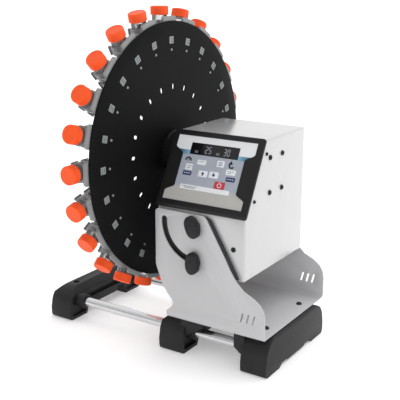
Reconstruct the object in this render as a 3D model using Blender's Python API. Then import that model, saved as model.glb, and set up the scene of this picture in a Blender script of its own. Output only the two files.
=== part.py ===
"""Laboratory tube rotator: a tilting drive head turns a vertical disc that carries tubes in clips.

Each piece is drawn with X along the disc's axis, from the disc towards the drive head, and X = 0
on the disc's rear face. Y runs to the back. Z is up, and the feet stand on Z = 0.
Dimensions are in millimetres. new_part() turns each finished mesh into metres and moves it by
FRAME_X, so the origin of the finished object is the centre of its footprint on the bench.
"""

import math

import bmesh
import bpy
from mathutils import Vector

MM = 0.001
GAP = 0.3

# Disc and its axis
AXIS_Z = 369.0
DISC_RADIUS = 250.0
DISC_THICKNESS = 3.0
DISC_SEGMENTS = 96
SHAFT_HOLE_RADIUS = 8.5
STATIONS = 24
FOOT_HOLE_RING = 214.0
FOOT_HOLE_SIZE = 13.8
PIN_HOLE_RING = 196.0
PIN_HOLE_RADIUS = 2.9
VENT_COUNT = 20
VENT_RING = 125.0
VENT_LENGTH = 12.0
VENT_WIDTH = 7.0
VENT_PHASE = 2.5

# Tubes and clips
TUBE_X = -27.4
TUBE_RADIUS = 14.7
TUBE_TIP_RING = 160.0
TUBE_SHOULDER_RING = 177.0
TUBE_TIP_RADIUS = 3.0
CAP_LOW_RING = 260.6
CAP_TOP_RING = 277.0
CAP_RADIUS = 17.2
TUBE_SEGMENTS = 12
CLIP_INNER_RADIUS = 15.1
CLIP_HALF_WIDTH = 22.0
CLIP_FAR_HALF_WIDTH = 17.5
CLIP_BEND_X = -13.0
CLIP_TOP_X = -43.5
CLIP_MOUTH_ANGLE = 138.0
CLIP_LOW_RING = 206.0
CLIP_HIGH_RING = 250.0
# Each clip's back plate, against the disc, reaches further out than its jaws
PLATE_RING = 258.5
PLATE_HALF_WIDTH = 21.0
PLATE_FRONT_X = -8.0
CARRIER_LOW_RING = 189.0
CARRIER_HIGH_RING = 226.0
CARRIER_THICKNESS = 2.0

# Drive shaft, hub and clamp nut
HUB_RADIUS = 41.0
HUB_LOW_X = 0.3
HUB_HIGH_X = 41.0
SHAFT_RADIUS = 8.0
SHAFT_END_X = 122.0
SHAFT_TIP_X = -16.0
NUT_RADIUS = 26.0
NUT_LENGTH = 11.0
NUT_TEETH = 18
NUT_TOOTH = 1.2

# Drive head
HEAD_LEFT = 45.0
HEAD_RIGHT = 232.6
HEAD_HALF_DEPTH = 114.0
HEAD_BOTTOM = AXIS_Z - 196.0
HEAD_TOP = AXIS_Z + 52.0
PANEL_FOOT_Z = AXIS_Z - 79.4
PANEL_TOP_Y = -43.7
SHEET = 2.0
BEND = 4.0
SHAFT_OPENING_RADIUS = 26.0
INLET_SPOT = (76.0, AXIS_Z + 18.0)
SWITCH_SPOT = (112.0, AXIS_Z + 18.0)
ROCKER_HALF_LENGTH = 7.2
PANEL_OPENING_CENTRE = (0.2, 74.5)
PANEL_OPENING_HEIGHT = 137.0
PANEL_OPENING_MARGIN = 2.0
INLET_HOLE_RADIUS = 8.3
SWITCH_HOLE_SIZE = (20.6, 13.6)
# Screws on the drive head: head, shank and clearance hole
DRIVE_HOLE_RADIUS = 2.5
DRIVE_SHANK_RADIUS = 2.1
DRIVE_SCREW_RADIUS = 5.0
DRIVE_SCREW_PROUD = 3.3
PANEL_HOLE_RADIUS = 1.9
PANEL_SHANK_RADIUS = 1.5
PANEL_SCREW_RADIUS = 3.4
PANEL_SCREW_PROUD = 2.9
TRAY_HOLE_RADIUS = 2.1
TRAY_SHANK_RADIUS = 1.7
TRAY_SCREW_RADIUS = 4.8
TRAY_SCREW_PROUD = 2.8
TRAY_SCREW_X = 210.0
TRAY_SCREW_Z = AXIS_Z - 137.0

# Inside the drive head
BRACKET_CENTRE = (-2.0, AXIS_Z - 15.0)
BRACKET_SIZE = (60.0, 84.0)
BRACKET_THICKNESS = 4.0
MOTOR_RADIUS = 20.0
GEARBOX_RADIUS = 27.0
SOCKET_RADIUS = 14.0
BEARING_RADIUS = 25.0
FLANGE_RADIUS = 34.0
SLEEVE_RADIUS = 20.0
SHAFT_CLEARANCE = 0.4
TRAY_CENTRE = (140.0, 0.0)
TRAY_SIZE = (150.0, 215.0)
TRAY_THICKNESS = 2.5
TRAY_HEIGHT = 12.0
TRAY_TAB_WIDTH = 14.0

# Power socket and switch in the back wall
INLET_RADIUS = 8.0
INLET_RIM_RADIUS = 10.5
INLET_SOCKET_RADIUS = 4.2
INLET_PIN_RADIUS = 1.1
RIM_THICKNESS = 1.6
BEZEL_SIZE = (20.0, 13.0)
BEZEL_RIM_SIZE = (23.5, 16.5)
BEZEL_WELL_SIZE = (17.0, 10.0)
ROCKER_HALF_WIDTH = 4.4

# Control panel, measured in its own slope: S runs up the slope and N points out of it
PANEL_MID_X = 138.6
PANEL_HALF_WIDTH = 94.7
PANEL_LOW_S = -4.0
PANEL_HIGH_S = 149.5
PANEL_THICKNESS = 6.0
# The frame's lower lip is trimmed upright here, so it passes inside the stand's linings
PANEL_LIP_Y = -116.9
LIP_TRIM_REACH = 20.0
PANEL_CORNER = 5.0
LUG_LEVELS = (38.3, 127.8)
LUG_SIZE = (8.0, 11.0)
LUG_DEPTH = 19.0
FOIL_BACK_N = 3.3
FOIL_FRONT_N = 5.0
POCKET_N = 3.0
FOIL_LOW_S = 14.2
FOIL_HIGH_S = 139.8
FOIL_WIDE = 84.5
FOIL_WAIST = 66.0
WINDOW_SIZE = (103.0, 22.5)
WINDOW_CENTRE = (-0.2, 115.7)
KEY_BACK_N = 3.6
KEY_FRONT_N = 5.6
KEY_TRAVEL = 0.4
KEYS = {
    "key_left": (-46.0, 68.0, 19.0, 8.0),
    "key_up": (-12.2, 70.2, 20.0, 13.0),
    "key_down": (11.0, 71.0, 20.0, 13.0),
    "key_right": (47.0, 67.2, 19.0, 8.0),
    "key_mode": (19.4, 93.0, 16.0, 13.0),
    "key_stop": (28.0, 53.4, 22.0, 13.5),
}

# Stand: pivot, arc slot, walls and base plate
PIVOT_X = 134.4
PIVOT_Z = AXIS_Z - 103.0
LOCK_RADIUS = 69.0
WALL_OUTER_Y = 124.0
WALL = 2.5
WALL_BEND = 13.0
PLATE_UNDERSIDE_Z = 71.0
PLATE_LEFT = 68.0
PLATE_RIGHT = 281.0
BOLT_RADIUS = 4.0
BOLT_HOLE_RADIUS = 4.5
SLOT_HALF_WIDTH = 4.7
SLOT_OVERRUN = 2.5
STAND_VENT_COUNT = 3
STAND_VENT_LEFT = 234.0
STAND_VENT_PITCH = 12.0
STAND_VENT_LOW_Z = AXIS_Z - 268.0
STAND_VENT_HIGH_Z = AXIS_Z - 249.0
STAND_VENT_LEAN = 4.4
STAND_VENT_WIDTH = 4.0
STAND_HOLE_RADIUS = 3.0
LINING_THICKNESS = 4.0
LINING_PROUD = 6.0
LINING_LEFT = 50.0
LINING_LOW_Z = AXIS_Z - 190.0
LINING_HIGH_Z = AXIS_Z - 84.0

# Feet and tie rods
FOOT_HALF_LENGTH = 120.5
FOOT_WIDTH = 54.0
FOOT_LEFTS = {"foot_outrigger": -235.5, "foot_middle": 48.0, "foot_right": 230.0}
FOOT_ARCHES = {"foot_outrigger": 27.0, "foot_middle": 27.0, "foot_right": 7.0}
OUTRIGGER_TOP_Z = 67.0
FOOT_SHAVE = 14.0
FOOT_SCREW_Y = 68.0
FOOT_SHANK_RADIUS = 2.5
FOOT_SCREW_RADIUS = 5.6
FOOT_SCREW_PROUD = 3.7
FOOT_SHOULDER = 40.0
RECESS_RADIUS = 6.0
RECESS_DEPTH = 9.0
WING_HALF_LENGTH = 110.0
SEAT_Z = PLATE_UNDERSIDE_Z - GAP
COLLAR_RADIUS = 15.0
COLLAR_LENGTHS = {"foot_outrigger": 20.0, "foot_middle": 14.0}
ROD_Y = 88.0
ROD_Z = 38.5
ROD_RADIUS = 10.0
ROD_ENDS = (-224.0, 272.0)
ROD_SOCKET_LEFT = -224.5
ROD_SOCKET_RIGHT = 272.5

# Knobs
KNOB_LENGTH = 42.0
KNOB_WIDTH = 28.0
KNOB_DEPTH = 17.0
KNOB_NECK = 2.2
KNOB_NECK_RADIUS = 12.0
KNOB_TILTS = {"pivot": -20.0, "lock": 0.0}

# The middle of the footprint in X
FRAME_X = (FOOT_LEFTS["foot_outrigger"] + FOOT_LEFTS["foot_right"] + FOOT_WIDTH) / 2.0


def clear_scene():
    for item in list(bpy.data.objects):
        bpy.data.objects.remove(item, do_unlink=True)


def make_material(name, colour, roughness, metallic=0.0, alpha=1.0):
    material = bpy.data.materials.new(name)
    material.use_nodes = True
    shader = material.node_tree.nodes["Principled BSDF"]
    shader.inputs["Base Color"].default_value = (colour[0], colour[1], colour[2], 1.0)
    shader.inputs["Roughness"].default_value = roughness
    shader.inputs["Metallic"].default_value = metallic
    shader.inputs["Alpha"].default_value = alpha
    material.diffuse_color = (colour[0], colour[1], colour[2], alpha)
    return material


# ---- Points and shapes -------------------------------------------------------------------


def along_x(x, y, z):
    """A prism drawn in Y and Z, swept along X."""
    return Vector((z, x, y))


def along_y(x, y, z):
    """A prism drawn in X and Z, swept along Y."""
    return Vector((x, z, y))


def along_z(x, y, z):
    """A prism drawn in X and Y, swept along Z."""
    return Vector((x, y, z))


def panel_point(x, s, n):
    """A point of the sloping panel: x from its middle, s up the slope, n out of its face."""
    run = PANEL_TOP_Y + HEAD_HALF_DEPTH
    rise = HEAD_TOP - PANEL_FOOT_Z
    length = math.hypot(run, rise)
    up = Vector((0.0, run / length, rise / length))
    out = Vector((0.0, -rise / length, run / length))
    foot = Vector((PANEL_MID_X, -HEAD_HALF_DEPTH, PANEL_FOOT_Z))
    return foot + Vector((x, 0.0, 0.0)) + up * s + out * n


def station_point(angle, ring, across, x):
    """A point near the disc: angle from straight up, distance from the axis, offset across, and X."""
    y = ring * math.sin(angle) + across * math.cos(angle)
    z = AXIS_Z + ring * math.cos(angle) - across * math.sin(angle)
    return Vector((x, y, z))


def add_prism(bm, outline, low, high, place):
    """Sweep a flat outline from low to high; place() turns (u, v, w) into a point."""
    bottom = [bm.verts.new(place(u, v, low)) for u, v in outline]
    top = [bm.verts.new(place(u, v, high)) for u, v in outline]
    count = len(outline)
    bm.faces.new(list(reversed(bottom)))
    bm.faces.new(top)
    for index in range(count):
        after = (index + 1) % count
        bm.faces.new((bottom[index], bottom[after], top[after], top[index]))


def add_turned(bm, profile, segments, place):
    """Turn a profile of (distance along, radius) about its axis, with flat ends."""
    rings = []
    for along, radius in profile:
        ring = []
        for index in range(segments):
            angle = 2.0 * math.pi * index / segments
            ring.append(bm.verts.new(place(radius * math.cos(angle), radius * math.sin(angle), along)))
        rings.append(ring)
    for lower, upper in zip(rings, rings[1:]):
        for index in range(segments):
            after = (index + 1) % segments
            bm.faces.new((lower[index], lower[after], upper[after], upper[index]))
    bm.faces.new(list(reversed(rings[0])))
    bm.faces.new(rings[-1])


def rectangle(centre, width, height):
    u, v = centre
    half_u = width / 2.0
    half_v = height / 2.0
    left = u - half_u
    right = u + half_u
    return [(left, v - half_v), (right, v - half_v), (right, v + half_v), (left, v + half_v)]


def rounded_rectangle(centre, width, height, radius, steps=3):
    u, v = centre
    points = []
    corners = ((1, 1, 0.0), (-1, 1, 90.0), (-1, -1, 180.0), (1, -1, 270.0))
    for side_u, side_v, start in corners:
        middle_u = u + side_u * (width / 2.0 - radius)
        middle_v = v + side_v * (height / 2.0 - radius)
        for step in range(steps + 1):
            angle = math.radians(start + 90.0 * step / steps)
            points.append((middle_u + radius * math.cos(angle), middle_v + radius * math.sin(angle)))
    return points


def circle(centre, radius, segments):
    points = []
    for index in range(segments):
        angle = 2.0 * math.pi * (index + 0.5) / segments
        points.append((centre[0] + radius * math.cos(angle), centre[1] + radius * math.sin(angle)))
    return points


def arc(centre, radius, start, end, steps):
    points = []
    for step in range(steps + 1):
        angle = math.radians(start + (end - start) * step / steps)
        points.append((centre[0] + radius * math.cos(angle), centre[1] + radius * math.sin(angle)))
    return points


def new_part(name, bm, material, origin=(0.0, 0.0, 0.0)):
    """Make an object in metres from a mesh drawn in millimetres, with its origin at a given point."""
    base = Vector(origin)
    for vert in bm.verts:
        vert.co = (vert.co - base) * MM
    bmesh.ops.recalc_face_normals(bm, faces=bm.faces)
    mesh = bpy.data.meshes.new(name)
    bm.to_mesh(mesh)
    bm.free()
    part = bpy.data.objects.new(name, mesh)
    part.location = (base - Vector((FRAME_X, 0.0, 0.0))) * MM
    bpy.context.collection.objects.link(part)
    if material:
        mesh.materials.append(material)
    return part


def new_tool(name, bm):
    """A hidden cutter, or a shape to be joined on."""
    tool = new_part(name, bm, None)
    tool.hide_render = True
    tool.display_type = "WIRE"
    return tool


def combine(part, operation, tool):
    modifier = part.modifiers.new(tool.name, "BOOLEAN")
    modifier.operation = operation
    modifier.solver = "EXACT"
    modifier.object = tool


def soften(part, width, segments=1, angle=40.0):
    modifier = part.modifiers.new("edges", "BEVEL")
    modifier.width = width * MM
    modifier.segments = segments
    modifier.limit_method = "ANGLE"
    modifier.angle_limit = math.radians(angle)


def smooth(part, angle=35.0):
    part.data.shade_smooth()
    part.data.set_sharp_from_angle(angle=math.radians(angle))


# ---- Rotor -------------------------------------------------------------------------------


def rotor_place(u, v, w):
    """A turned or swept shape on the disc's axis."""
    return Vector((w, u, AXIS_Z + v))


def station_angles():
    return [2.0 * math.pi * index / STATIONS for index in range(STATIONS)]


def build_disc(material):
    bm = bmesh.new()
    add_prism(bm, circle((0.0, 0.0), DISC_RADIUS, DISC_SEGMENTS), -DISC_THICKNESS, 0.0, rotor_place)
    disc = new_part("disc", bm, material, (0.0, 0.0, AXIS_Z))
    low = -DISC_THICKNESS - 1.0
    bm = bmesh.new()
    add_prism(bm, circle((0.0, 0.0), SHAFT_HOLE_RADIUS, 16), low, 1.0, rotor_place)
    for angle in station_angles():
        def place(u, v, w, angle=angle):
            return station_point(angle, v, u, w)
        size = FOOT_HOLE_SIZE
        add_prism(bm, rectangle((0.0, FOOT_HOLE_RING), size, size), low, 1.0, place)
        add_prism(bm, circle((0.0, PIN_HOLE_RING), PIN_HOLE_RADIUS, 6), low, 1.0, place)
    for index in range(VENT_COUNT):
        angle = 2.0 * math.pi * index / VENT_COUNT + math.radians(VENT_PHASE)
        def place(u, v, w, angle=angle):
            return station_point(angle, v, u, w)
        outline = rounded_rectangle((0.0, VENT_RING), VENT_WIDTH, VENT_LENGTH, 3.0, 1)
        add_prism(bm, outline, low, 1.0, place)
    combine(disc, "DIFFERENCE", new_tool("disc_holes", bm))


def clip_outline():
    """Half of the clip, seen along the tube, then its mirror image."""
    half = [(CLIP_HALF_WIDTH, -DISC_THICKNESS - GAP), (CLIP_HALF_WIDTH, CLIP_BEND_X)]
    half.append((CLIP_FAR_HALF_WIDTH, CLIP_TOP_X + 2.0))
    half.append((CLIP_FAR_HALF_WIDTH - 2.0, CLIP_TOP_X))
    half.append((12.0, CLIP_TOP_X))
    steps = 5
    for step in range(steps + 1):
        angle = math.radians(CLIP_MOUTH_ANGLE * (1.0 - step / (steps + 0.5)))
        half.append((CLIP_INNER_RADIUS * math.sin(angle), TUBE_X + CLIP_INNER_RADIUS * math.cos(angle)))
    mirrored = [(-u, v) for u, v in reversed(half)]
    return half + mirrored


def build_clip_ring(material):
    back = -DISC_THICKNESS - GAP - CARRIER_THICKNESS
    front = -DISC_THICKNESS - GAP
    bm = bmesh.new()
    add_prism(bm, circle((0.0, 0.0), CARRIER_HIGH_RING, 72), back, front, rotor_place)
    ring = new_part("clip_ring", bm, material, (0.0, 0.0, AXIS_Z))
    bm = bmesh.new()
    add_prism(bm, circle((0.0, 0.0), CARRIER_LOW_RING, 72), back - 1.0, front + 1.0, rotor_place)
    combine(ring, "DIFFERENCE", new_tool("carrier_bore", bm))
    bm = bmesh.new()
    outline = clip_outline()
    for angle in station_angles():
        def place(u, v, w, angle=angle):
            return station_point(angle, w, u, v)
        add_prism(bm, outline, CLIP_LOW_RING, CLIP_HIGH_RING, place)
    combine(ring, "UNION", new_tool("clip_jaws", bm))
    bm = bmesh.new()
    width = 2.0 * PLATE_HALF_WIDTH
    plate = rectangle((0.0, (front + PLATE_FRONT_X) / 2.0), width, front - PLATE_FRONT_X)
    for angle in station_angles():
        def place(u, v, w, angle=angle):
            return station_point(angle, w, u, v)
        add_prism(bm, plate, CLIP_LOW_RING + 1.0, PLATE_RING, place)
    combine(ring, "UNION", new_tool("clip_plates", bm))
    bm = bmesh.new()
    for angle in station_angles():
        def place(u, v, w, angle=angle):
            return station_point(angle, v, u, w)
        size = FOOT_HOLE_SIZE - 2.0 * GAP
        add_prism(bm, rectangle((0.0, FOOT_HOLE_RING), size, size), back + 0.5, 0.6, place)
        add_prism(bm, circle((0.0, PIN_HOLE_RING), PIN_HOLE_RADIUS - 2.0 * GAP, 6), back + 0.5, 1.0, place)
    combine(ring, "UNION", new_tool("clip_feet", bm))


def build_tubes(material):
    profile = [
        (TUBE_TIP_RING, TUBE_TIP_RADIUS),
        (TUBE_SHOULDER_RING, TUBE_RADIUS - 0.5),
        (CAP_LOW_RING, TUBE_RADIUS),
        (CAP_LOW_RING, CAP_RADIUS),
        (CAP_TOP_RING, CAP_RADIUS),
    ]
    for number, angle in enumerate(station_angles(), start=1):
        def place(u, v, w, angle=angle):
            return station_point(angle, w, u, TUBE_X + v)
        bm = bmesh.new()
        add_turned(bm, profile, TUBE_SEGMENTS, place)
        tube = new_part("tube_%02d" % number, bm, material, (0.0, 0.0, AXIS_Z))
        smooth(tube)


def build_drive_hub(material):
    """The black hub between disc and head, with the steel shaft through both."""
    profile = [
        (SHAFT_TIP_X, SHAFT_RADIUS - 1.0),
        (SHAFT_TIP_X + 1.0, SHAFT_RADIUS),
        (HUB_LOW_X, SHAFT_RADIUS),
        (HUB_LOW_X, HUB_RADIUS - 1.0),
        (HUB_LOW_X + 1.0, HUB_RADIUS),
        (HUB_HIGH_X - 1.0, HUB_RADIUS),
        (HUB_HIGH_X, HUB_RADIUS - 1.0),
        (HUB_HIGH_X, SHAFT_RADIUS),
        (SHAFT_END_X, SHAFT_RADIUS),
    ]
    bm = bmesh.new()
    add_turned(bm, profile, 32, rotor_place)
    hub = new_part("drive_hub", bm, material, (0.0, 0.0, AXIS_Z))
    smooth(hub)


def build_clamp_nut(material):
    """A knurled disc nut that clamps the disc against the hub."""
    high = -DISC_THICKNESS - GAP
    bm = bmesh.new()
    outline = []
    for index in range(2 * NUT_TEETH):
        radius = NUT_RADIUS if index % 2 else NUT_RADIUS - NUT_TOOTH
        angle = math.pi * index / NUT_TEETH
        outline.append((radius * math.cos(angle), radius * math.sin(angle)))
    add_prism(bm, outline, high - NUT_LENGTH, high, rotor_place)
    nut = new_part("clamp_nut", bm, material, (0.0, 0.0, AXIS_Z))
    bm = bmesh.new()
    bore = circle((0.0, 0.0), SHAFT_RADIUS + GAP, 24)
    add_prism(bm, bore, high - NUT_LENGTH - 1.0, high + 1.0, rotor_place)
    combine(nut, "DIFFERENCE", new_tool("nut_bore", bm))


# ---- Drive head --------------------------------------------------------------------------


def head_outline(inset):
    """The head's side view in Y and Z, with its sloping panel face, set in by a sheet thickness."""
    run = PANEL_TOP_Y + HEAD_HALF_DEPTH
    rise = HEAD_TOP - PANEL_FOOT_Z
    length = math.hypot(run, rise)
    front = -HEAD_HALF_DEPTH + inset
    back = HEAD_HALF_DEPTH - inset
    bottom = HEAD_BOTTOM + inset
    top = HEAD_TOP - inset
    slope = rise / run
    shift = inset * length / run
    line_at_front = PANEL_FOOT_Z + slope * inset - shift
    top_y = -HEAD_HALF_DEPTH + (top + shift - PANEL_FOOT_Z) / slope
    return [(front, bottom), (back, bottom), (back, top), (top_y, top), (front, line_at_front)]


def build_housing(material):
    bm = bmesh.new()
    add_prism(bm, head_outline(0.0), HEAD_LEFT, HEAD_RIGHT, along_x)
    housing = new_part("housing", bm, material, (PIVOT_X, 0.0, PIVOT_Z))
    soften(housing, BEND, 2)
    bm = bmesh.new()
    add_prism(bm, head_outline(SHEET), HEAD_LEFT + SHEET, HEAD_RIGHT - SHEET, along_x)
    combine(housing, "DIFFERENCE", new_tool("housing_hollow", bm))
    bm = bmesh.new()
    width = HEAD_RIGHT - HEAD_LEFT - 2.0 * (SHEET + PANEL_OPENING_MARGIN)
    opening = rectangle(PANEL_OPENING_CENTRE, width, PANEL_OPENING_HEIGHT)
    add_prism(bm, opening, -7.0, 12.0, panel_point)
    combine(housing, "DIFFERENCE", new_tool("housing_window", bm))
    bm = bmesh.new()
    opening = circle((0.0, 0.0), SHAFT_OPENING_RADIUS, 24)
    add_prism(bm, opening, HEAD_LEFT - 2.0, HEAD_LEFT + 4.0, rotor_place)
    for u, v in drive_screw_spots():
        drive_hole = circle((u, AXIS_Z + v), DRIVE_HOLE_RADIUS, 8)
        add_prism(bm, drive_hole, HEAD_RIGHT - 4.0, HEAD_RIGHT + 1.0, along_x)
    for u, v in panel_screw_spots():
        panel_hole = circle((u, v), PANEL_HOLE_RADIUS, 8)
        add_prism(bm, panel_hole, HEAD_RIGHT - 4.0, HEAD_RIGHT + 1.0, along_x)
        add_prism(bm, panel_hole, HEAD_LEFT - 1.0, HEAD_LEFT + 4.0, along_x)
    for sign in (-1.0, 1.0):
        low = sign * (HEAD_HALF_DEPTH - 4.0)
        high = sign * (HEAD_HALF_DEPTH + 1.0)
        for hole_x, hole_z in bolt_spots():
            bolt_hole = circle((hole_x, hole_z), BOLT_HOLE_RADIUS, 16)
            add_prism(bm, bolt_hole, min(low, high), max(low, high), along_y)
        tray_hole = circle((TRAY_SCREW_X, TRAY_SCREW_Z), TRAY_HOLE_RADIUS, 8)
        add_prism(bm, tray_hole, min(low, high), max(low, high), along_y)
    back_low = HEAD_HALF_DEPTH - 4.0
    back_high = HEAD_HALF_DEPTH + 1.0
    add_prism(bm, circle(INLET_SPOT, INLET_HOLE_RADIUS, 20), back_low, back_high, along_y)
    add_prism(bm, rectangle(SWITCH_SPOT, *SWITCH_HOLE_SIZE), back_low, back_high, along_y)
    combine(housing, "DIFFERENCE", new_tool("housing_holes", bm))


def drive_screw_spots():
    """The four screws on the head's right wall that carry the drive, in Y and height from the axis."""
    return [(-26.5, 17.3), (20.5, 17.3), (20.5, -48.0), (-26.5, -48.0)]


def panel_screw_spots():
    """Screws through the side walls into the panel frame's lugs, in Y and Z."""
    return [(-40.5, AXIS_Z + 26.3), (-83.0, AXIS_Z - 52.5)]


def bolt_spots():
    """The pivot bolt, and the lock bolt straight below it at rest, in X and Z."""
    return [(PIVOT_X, PIVOT_Z), (PIVOT_X, PIVOT_Z - LOCK_RADIUS)]


def foil_half_width(s):
    """Half the foil's width at height s: wide at both ends, with a drawn-in waist."""
    low_ease = min(max((s - 30.0) / 13.0, 0.0), 1.0)
    high_ease = min(max((118.0 - s) / 14.0, 0.0), 1.0)
    ease = min(low_ease, high_ease)
    ease = ease * ease * (3.0 - 2.0 * ease)
    return FOIL_WIDE + (FOIL_WAIST - FOIL_WIDE) * ease


def foil_outline(inset):
    low = FOIL_LOW_S + inset
    high = FOIL_HIGH_S - inset
    levels = [low, 28.0, 33.0, 37.0, 41.0, 46.0, 75.0, 103.0, 108.0, 112.0, 116.0, 120.0, high]
    right = [(foil_half_width(s) - inset, s) for s in levels]
    left = [(-u, s) for u, s in reversed(right)]
    return right + left


def build_panel_frame(material):
    """The black panel frame, with lugs inside the head and the screws that hold them."""
    mid_s = (PANEL_LOW_S + PANEL_HIGH_S) / 2.0
    height = PANEL_HIGH_S - PANEL_LOW_S
    outline = rounded_rectangle((0.0, mid_s), 2.0 * PANEL_HALF_WIDTH, height, PANEL_CORNER, 3)
    bm = bmesh.new()
    add_prism(bm, outline, GAP, PANEL_THICKNESS, panel_point)
    frame = new_part("panel_frame", bm, material, (PIVOT_X, 0.0, PIVOT_Z))
    soften(frame, 1.2, 1)
    bm = bmesh.new()
    lip_low = PANEL_FOOT_Z - LIP_TRIM_REACH
    lip_high = PANEL_FOOT_Z + LIP_TRIM_REACH
    lip_front = -HEAD_HALF_DEPTH - LIP_TRIM_REACH
    lip = [(lip_front, lip_low), (PANEL_LIP_Y, lip_low), (PANEL_LIP_Y, lip_high), (lip_front, lip_high)]
    add_prism(bm, lip, HEAD_LEFT - LIP_TRIM_REACH, HEAD_RIGHT + LIP_TRIM_REACH, along_x)
    combine(frame, "DIFFERENCE", new_tool("lip_trim", bm))
    bm = bmesh.new()
    add_prism(bm, foil_outline(0.0), POCKET_N, PANEL_THICKNESS + 2.0, panel_point)
    combine(frame, "DIFFERENCE", new_tool("foil_pocket", bm))
    bm = bmesh.new()
    lug_edge = HEAD_RIGHT - SHEET - 3.0 - PANEL_MID_X
    for side in (-1.0, 1.0):
        for s in LUG_LEVELS:
            lug = rectangle((side * (lug_edge - 5.0), s), *LUG_SIZE)
            add_prism(bm, lug, -LUG_DEPTH, GAP + 1.2, panel_point)
    combine(frame, "UNION", new_tool("frame_lugs", bm))
    bm = bmesh.new()
    for u, v in panel_screw_spots():
        head = circle((u, v), PANEL_SCREW_RADIUS, 10)
        add_prism(bm, head, HEAD_RIGHT + GAP, HEAD_RIGHT + PANEL_SCREW_PROUD, along_x)
        add_prism(bm, head, HEAD_LEFT - PANEL_SCREW_PROUD, HEAD_LEFT - GAP, along_x)
    combine(frame, "UNION", new_tool("frame_screw_heads", bm))
    bm = bmesh.new()
    for u, v in panel_screw_spots():
        shank = circle((u, v), PANEL_SHANK_RADIUS, 8)
        add_prism(bm, shank, HEAD_RIGHT - 8.0, HEAD_RIGHT + 1.0, along_x)
        add_prism(bm, shank, HEAD_LEFT - 1.0, HEAD_LEFT + 8.0, along_x)
    combine(frame, "UNION", new_tool("frame_screw_shanks", bm))


def build_foil(material):
    bm = bmesh.new()
    add_prism(bm, foil_outline(GAP), FOIL_BACK_N, FOIL_FRONT_N, panel_point)
    foil = new_part("keypad_foil", bm, material, (PIVOT_X, 0.0, PIVOT_Z))
    bm = bmesh.new()
    add_prism(bm, rectangle(WINDOW_CENTRE, *WINDOW_SIZE), POCKET_N - 1.0, 8.0, panel_point)
    for u, s, width, height in KEYS.values():
        add_prism(bm, rounded_rectangle((u, s), width, height, 1.5, 2), POCKET_N - 1.0, 8.0, panel_point)
    combine(foil, "DIFFERENCE", new_tool("foil_holes", bm))


def build_window(material):
    width, height = WINDOW_SIZE
    bm = bmesh.new()
    outline = rectangle(WINDOW_CENTRE, width - 2.0 * GAP, height - 2.0 * GAP)
    add_prism(bm, outline, FOIL_BACK_N, FOIL_FRONT_N + 0.2, panel_point)
    new_part("display_window", bm, material, (PIVOT_X, 0.0, PIVOT_Z))


def build_keys(key_materials):
    for name, (u, s, width, height) in KEYS.items():
        bm = bmesh.new()
        outline = rounded_rectangle((u, s), width - 2.0 * GAP, height - 2.0 * GAP, 1.3, 2)
        add_prism(bm, outline, KEY_BACK_N, KEY_FRONT_N, panel_point)
        centre = panel_point(u, s, KEY_BACK_N)
        new_part(name, bm, key_materials[name], centre)


def build_drive_bracket(material):
    """A plate behind the right wall that holds the gear motor, with its four screws."""
    plate_high = HEAD_RIGHT - SHEET - GAP
    plate_low = plate_high - BRACKET_THICKNESS
    bm = bmesh.new()
    add_prism(bm, rectangle(BRACKET_CENTRE, *BRACKET_SIZE), plate_low, plate_high, along_x)
    bracket = new_part("drive_bracket", bm, material, (PIVOT_X, 0.0, PIVOT_Z))
    bm = bmesh.new()
    for u, v in drive_screw_spots():
        shank = circle((u, AXIS_Z + v), DRIVE_SHANK_RADIUS, 8)
        add_prism(bm, shank, plate_high - 1.0, HEAD_RIGHT + 1.2, along_x)
    combine(bracket, "UNION", new_tool("bracket_shanks", bm))
    bm = bmesh.new()
    for u, v in drive_screw_spots():
        head = circle((u, AXIS_Z + v), DRIVE_SCREW_RADIUS, 12)
        add_prism(bm, head, HEAD_RIGHT + GAP, HEAD_RIGHT + DRIVE_SCREW_PROUD, along_x)
    combine(bracket, "UNION", new_tool("bracket_heads", bm))


def build_gear_motor(material):
    """Gearbox and motor in line with the shaft; the shaft's end sits in its socket."""
    bracket_face = HEAD_RIGHT - SHEET - GAP - BRACKET_THICKNESS - GAP
    gearbox_low = SHAFT_END_X - 16.0
    gearbox_high = SHAFT_END_X + 22.0
    profile = [
        (SHAFT_END_X - 22.0, SOCKET_RADIUS),
        (gearbox_low, SOCKET_RADIUS),
        (gearbox_low, GEARBOX_RADIUS),
        (gearbox_high, GEARBOX_RADIUS),
        (gearbox_high, MOTOR_RADIUS),
        (bracket_face, MOTOR_RADIUS),
    ]
    bm = bmesh.new()
    add_turned(bm, profile, 24, rotor_place)
    motor = new_part("gear_motor", bm, material, (PIVOT_X, 0.0, PIVOT_Z))
    bm = bmesh.new()
    low = SHAFT_END_X - 23.0
    socket = circle((0.0, 0.0), SHAFT_RADIUS + SHAFT_CLEARANCE, 24)
    add_prism(bm, socket, low, SHAFT_END_X + 2.0, rotor_place)
    combine(motor, "DIFFERENCE", new_tool("motor_socket", bm))
    smooth(motor)


def build_bearing(material):
    """A flanged bearing that fills the left wall's hole around the shaft."""
    flange_low = HEAD_LEFT + SHEET + GAP
    flange_high = HEAD_LEFT + 7.0
    profile = [
        (HEAD_LEFT - 2.0, BEARING_RADIUS),
        (flange_low, BEARING_RADIUS),
        (flange_low, FLANGE_RADIUS),
        (flange_high, FLANGE_RADIUS),
        (flange_high, SLEEVE_RADIUS),
        (HEAD_LEFT + 16.0, SLEEVE_RADIUS),
    ]
    bm = bmesh.new()
    add_turned(bm, profile, 28, rotor_place)
    bearing = new_part("bearing", bm, material, (PIVOT_X, 0.0, PIVOT_Z))
    bm = bmesh.new()
    bore = circle((0.0, 0.0), SHAFT_RADIUS + SHAFT_CLEARANCE, 24)
    add_prism(bm, bore, HEAD_LEFT - 3.0, HEAD_LEFT + 17.0, rotor_place)
    combine(bearing, "DIFFERENCE", new_tool("bearing_bore", bm))
    smooth(bearing)


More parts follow.
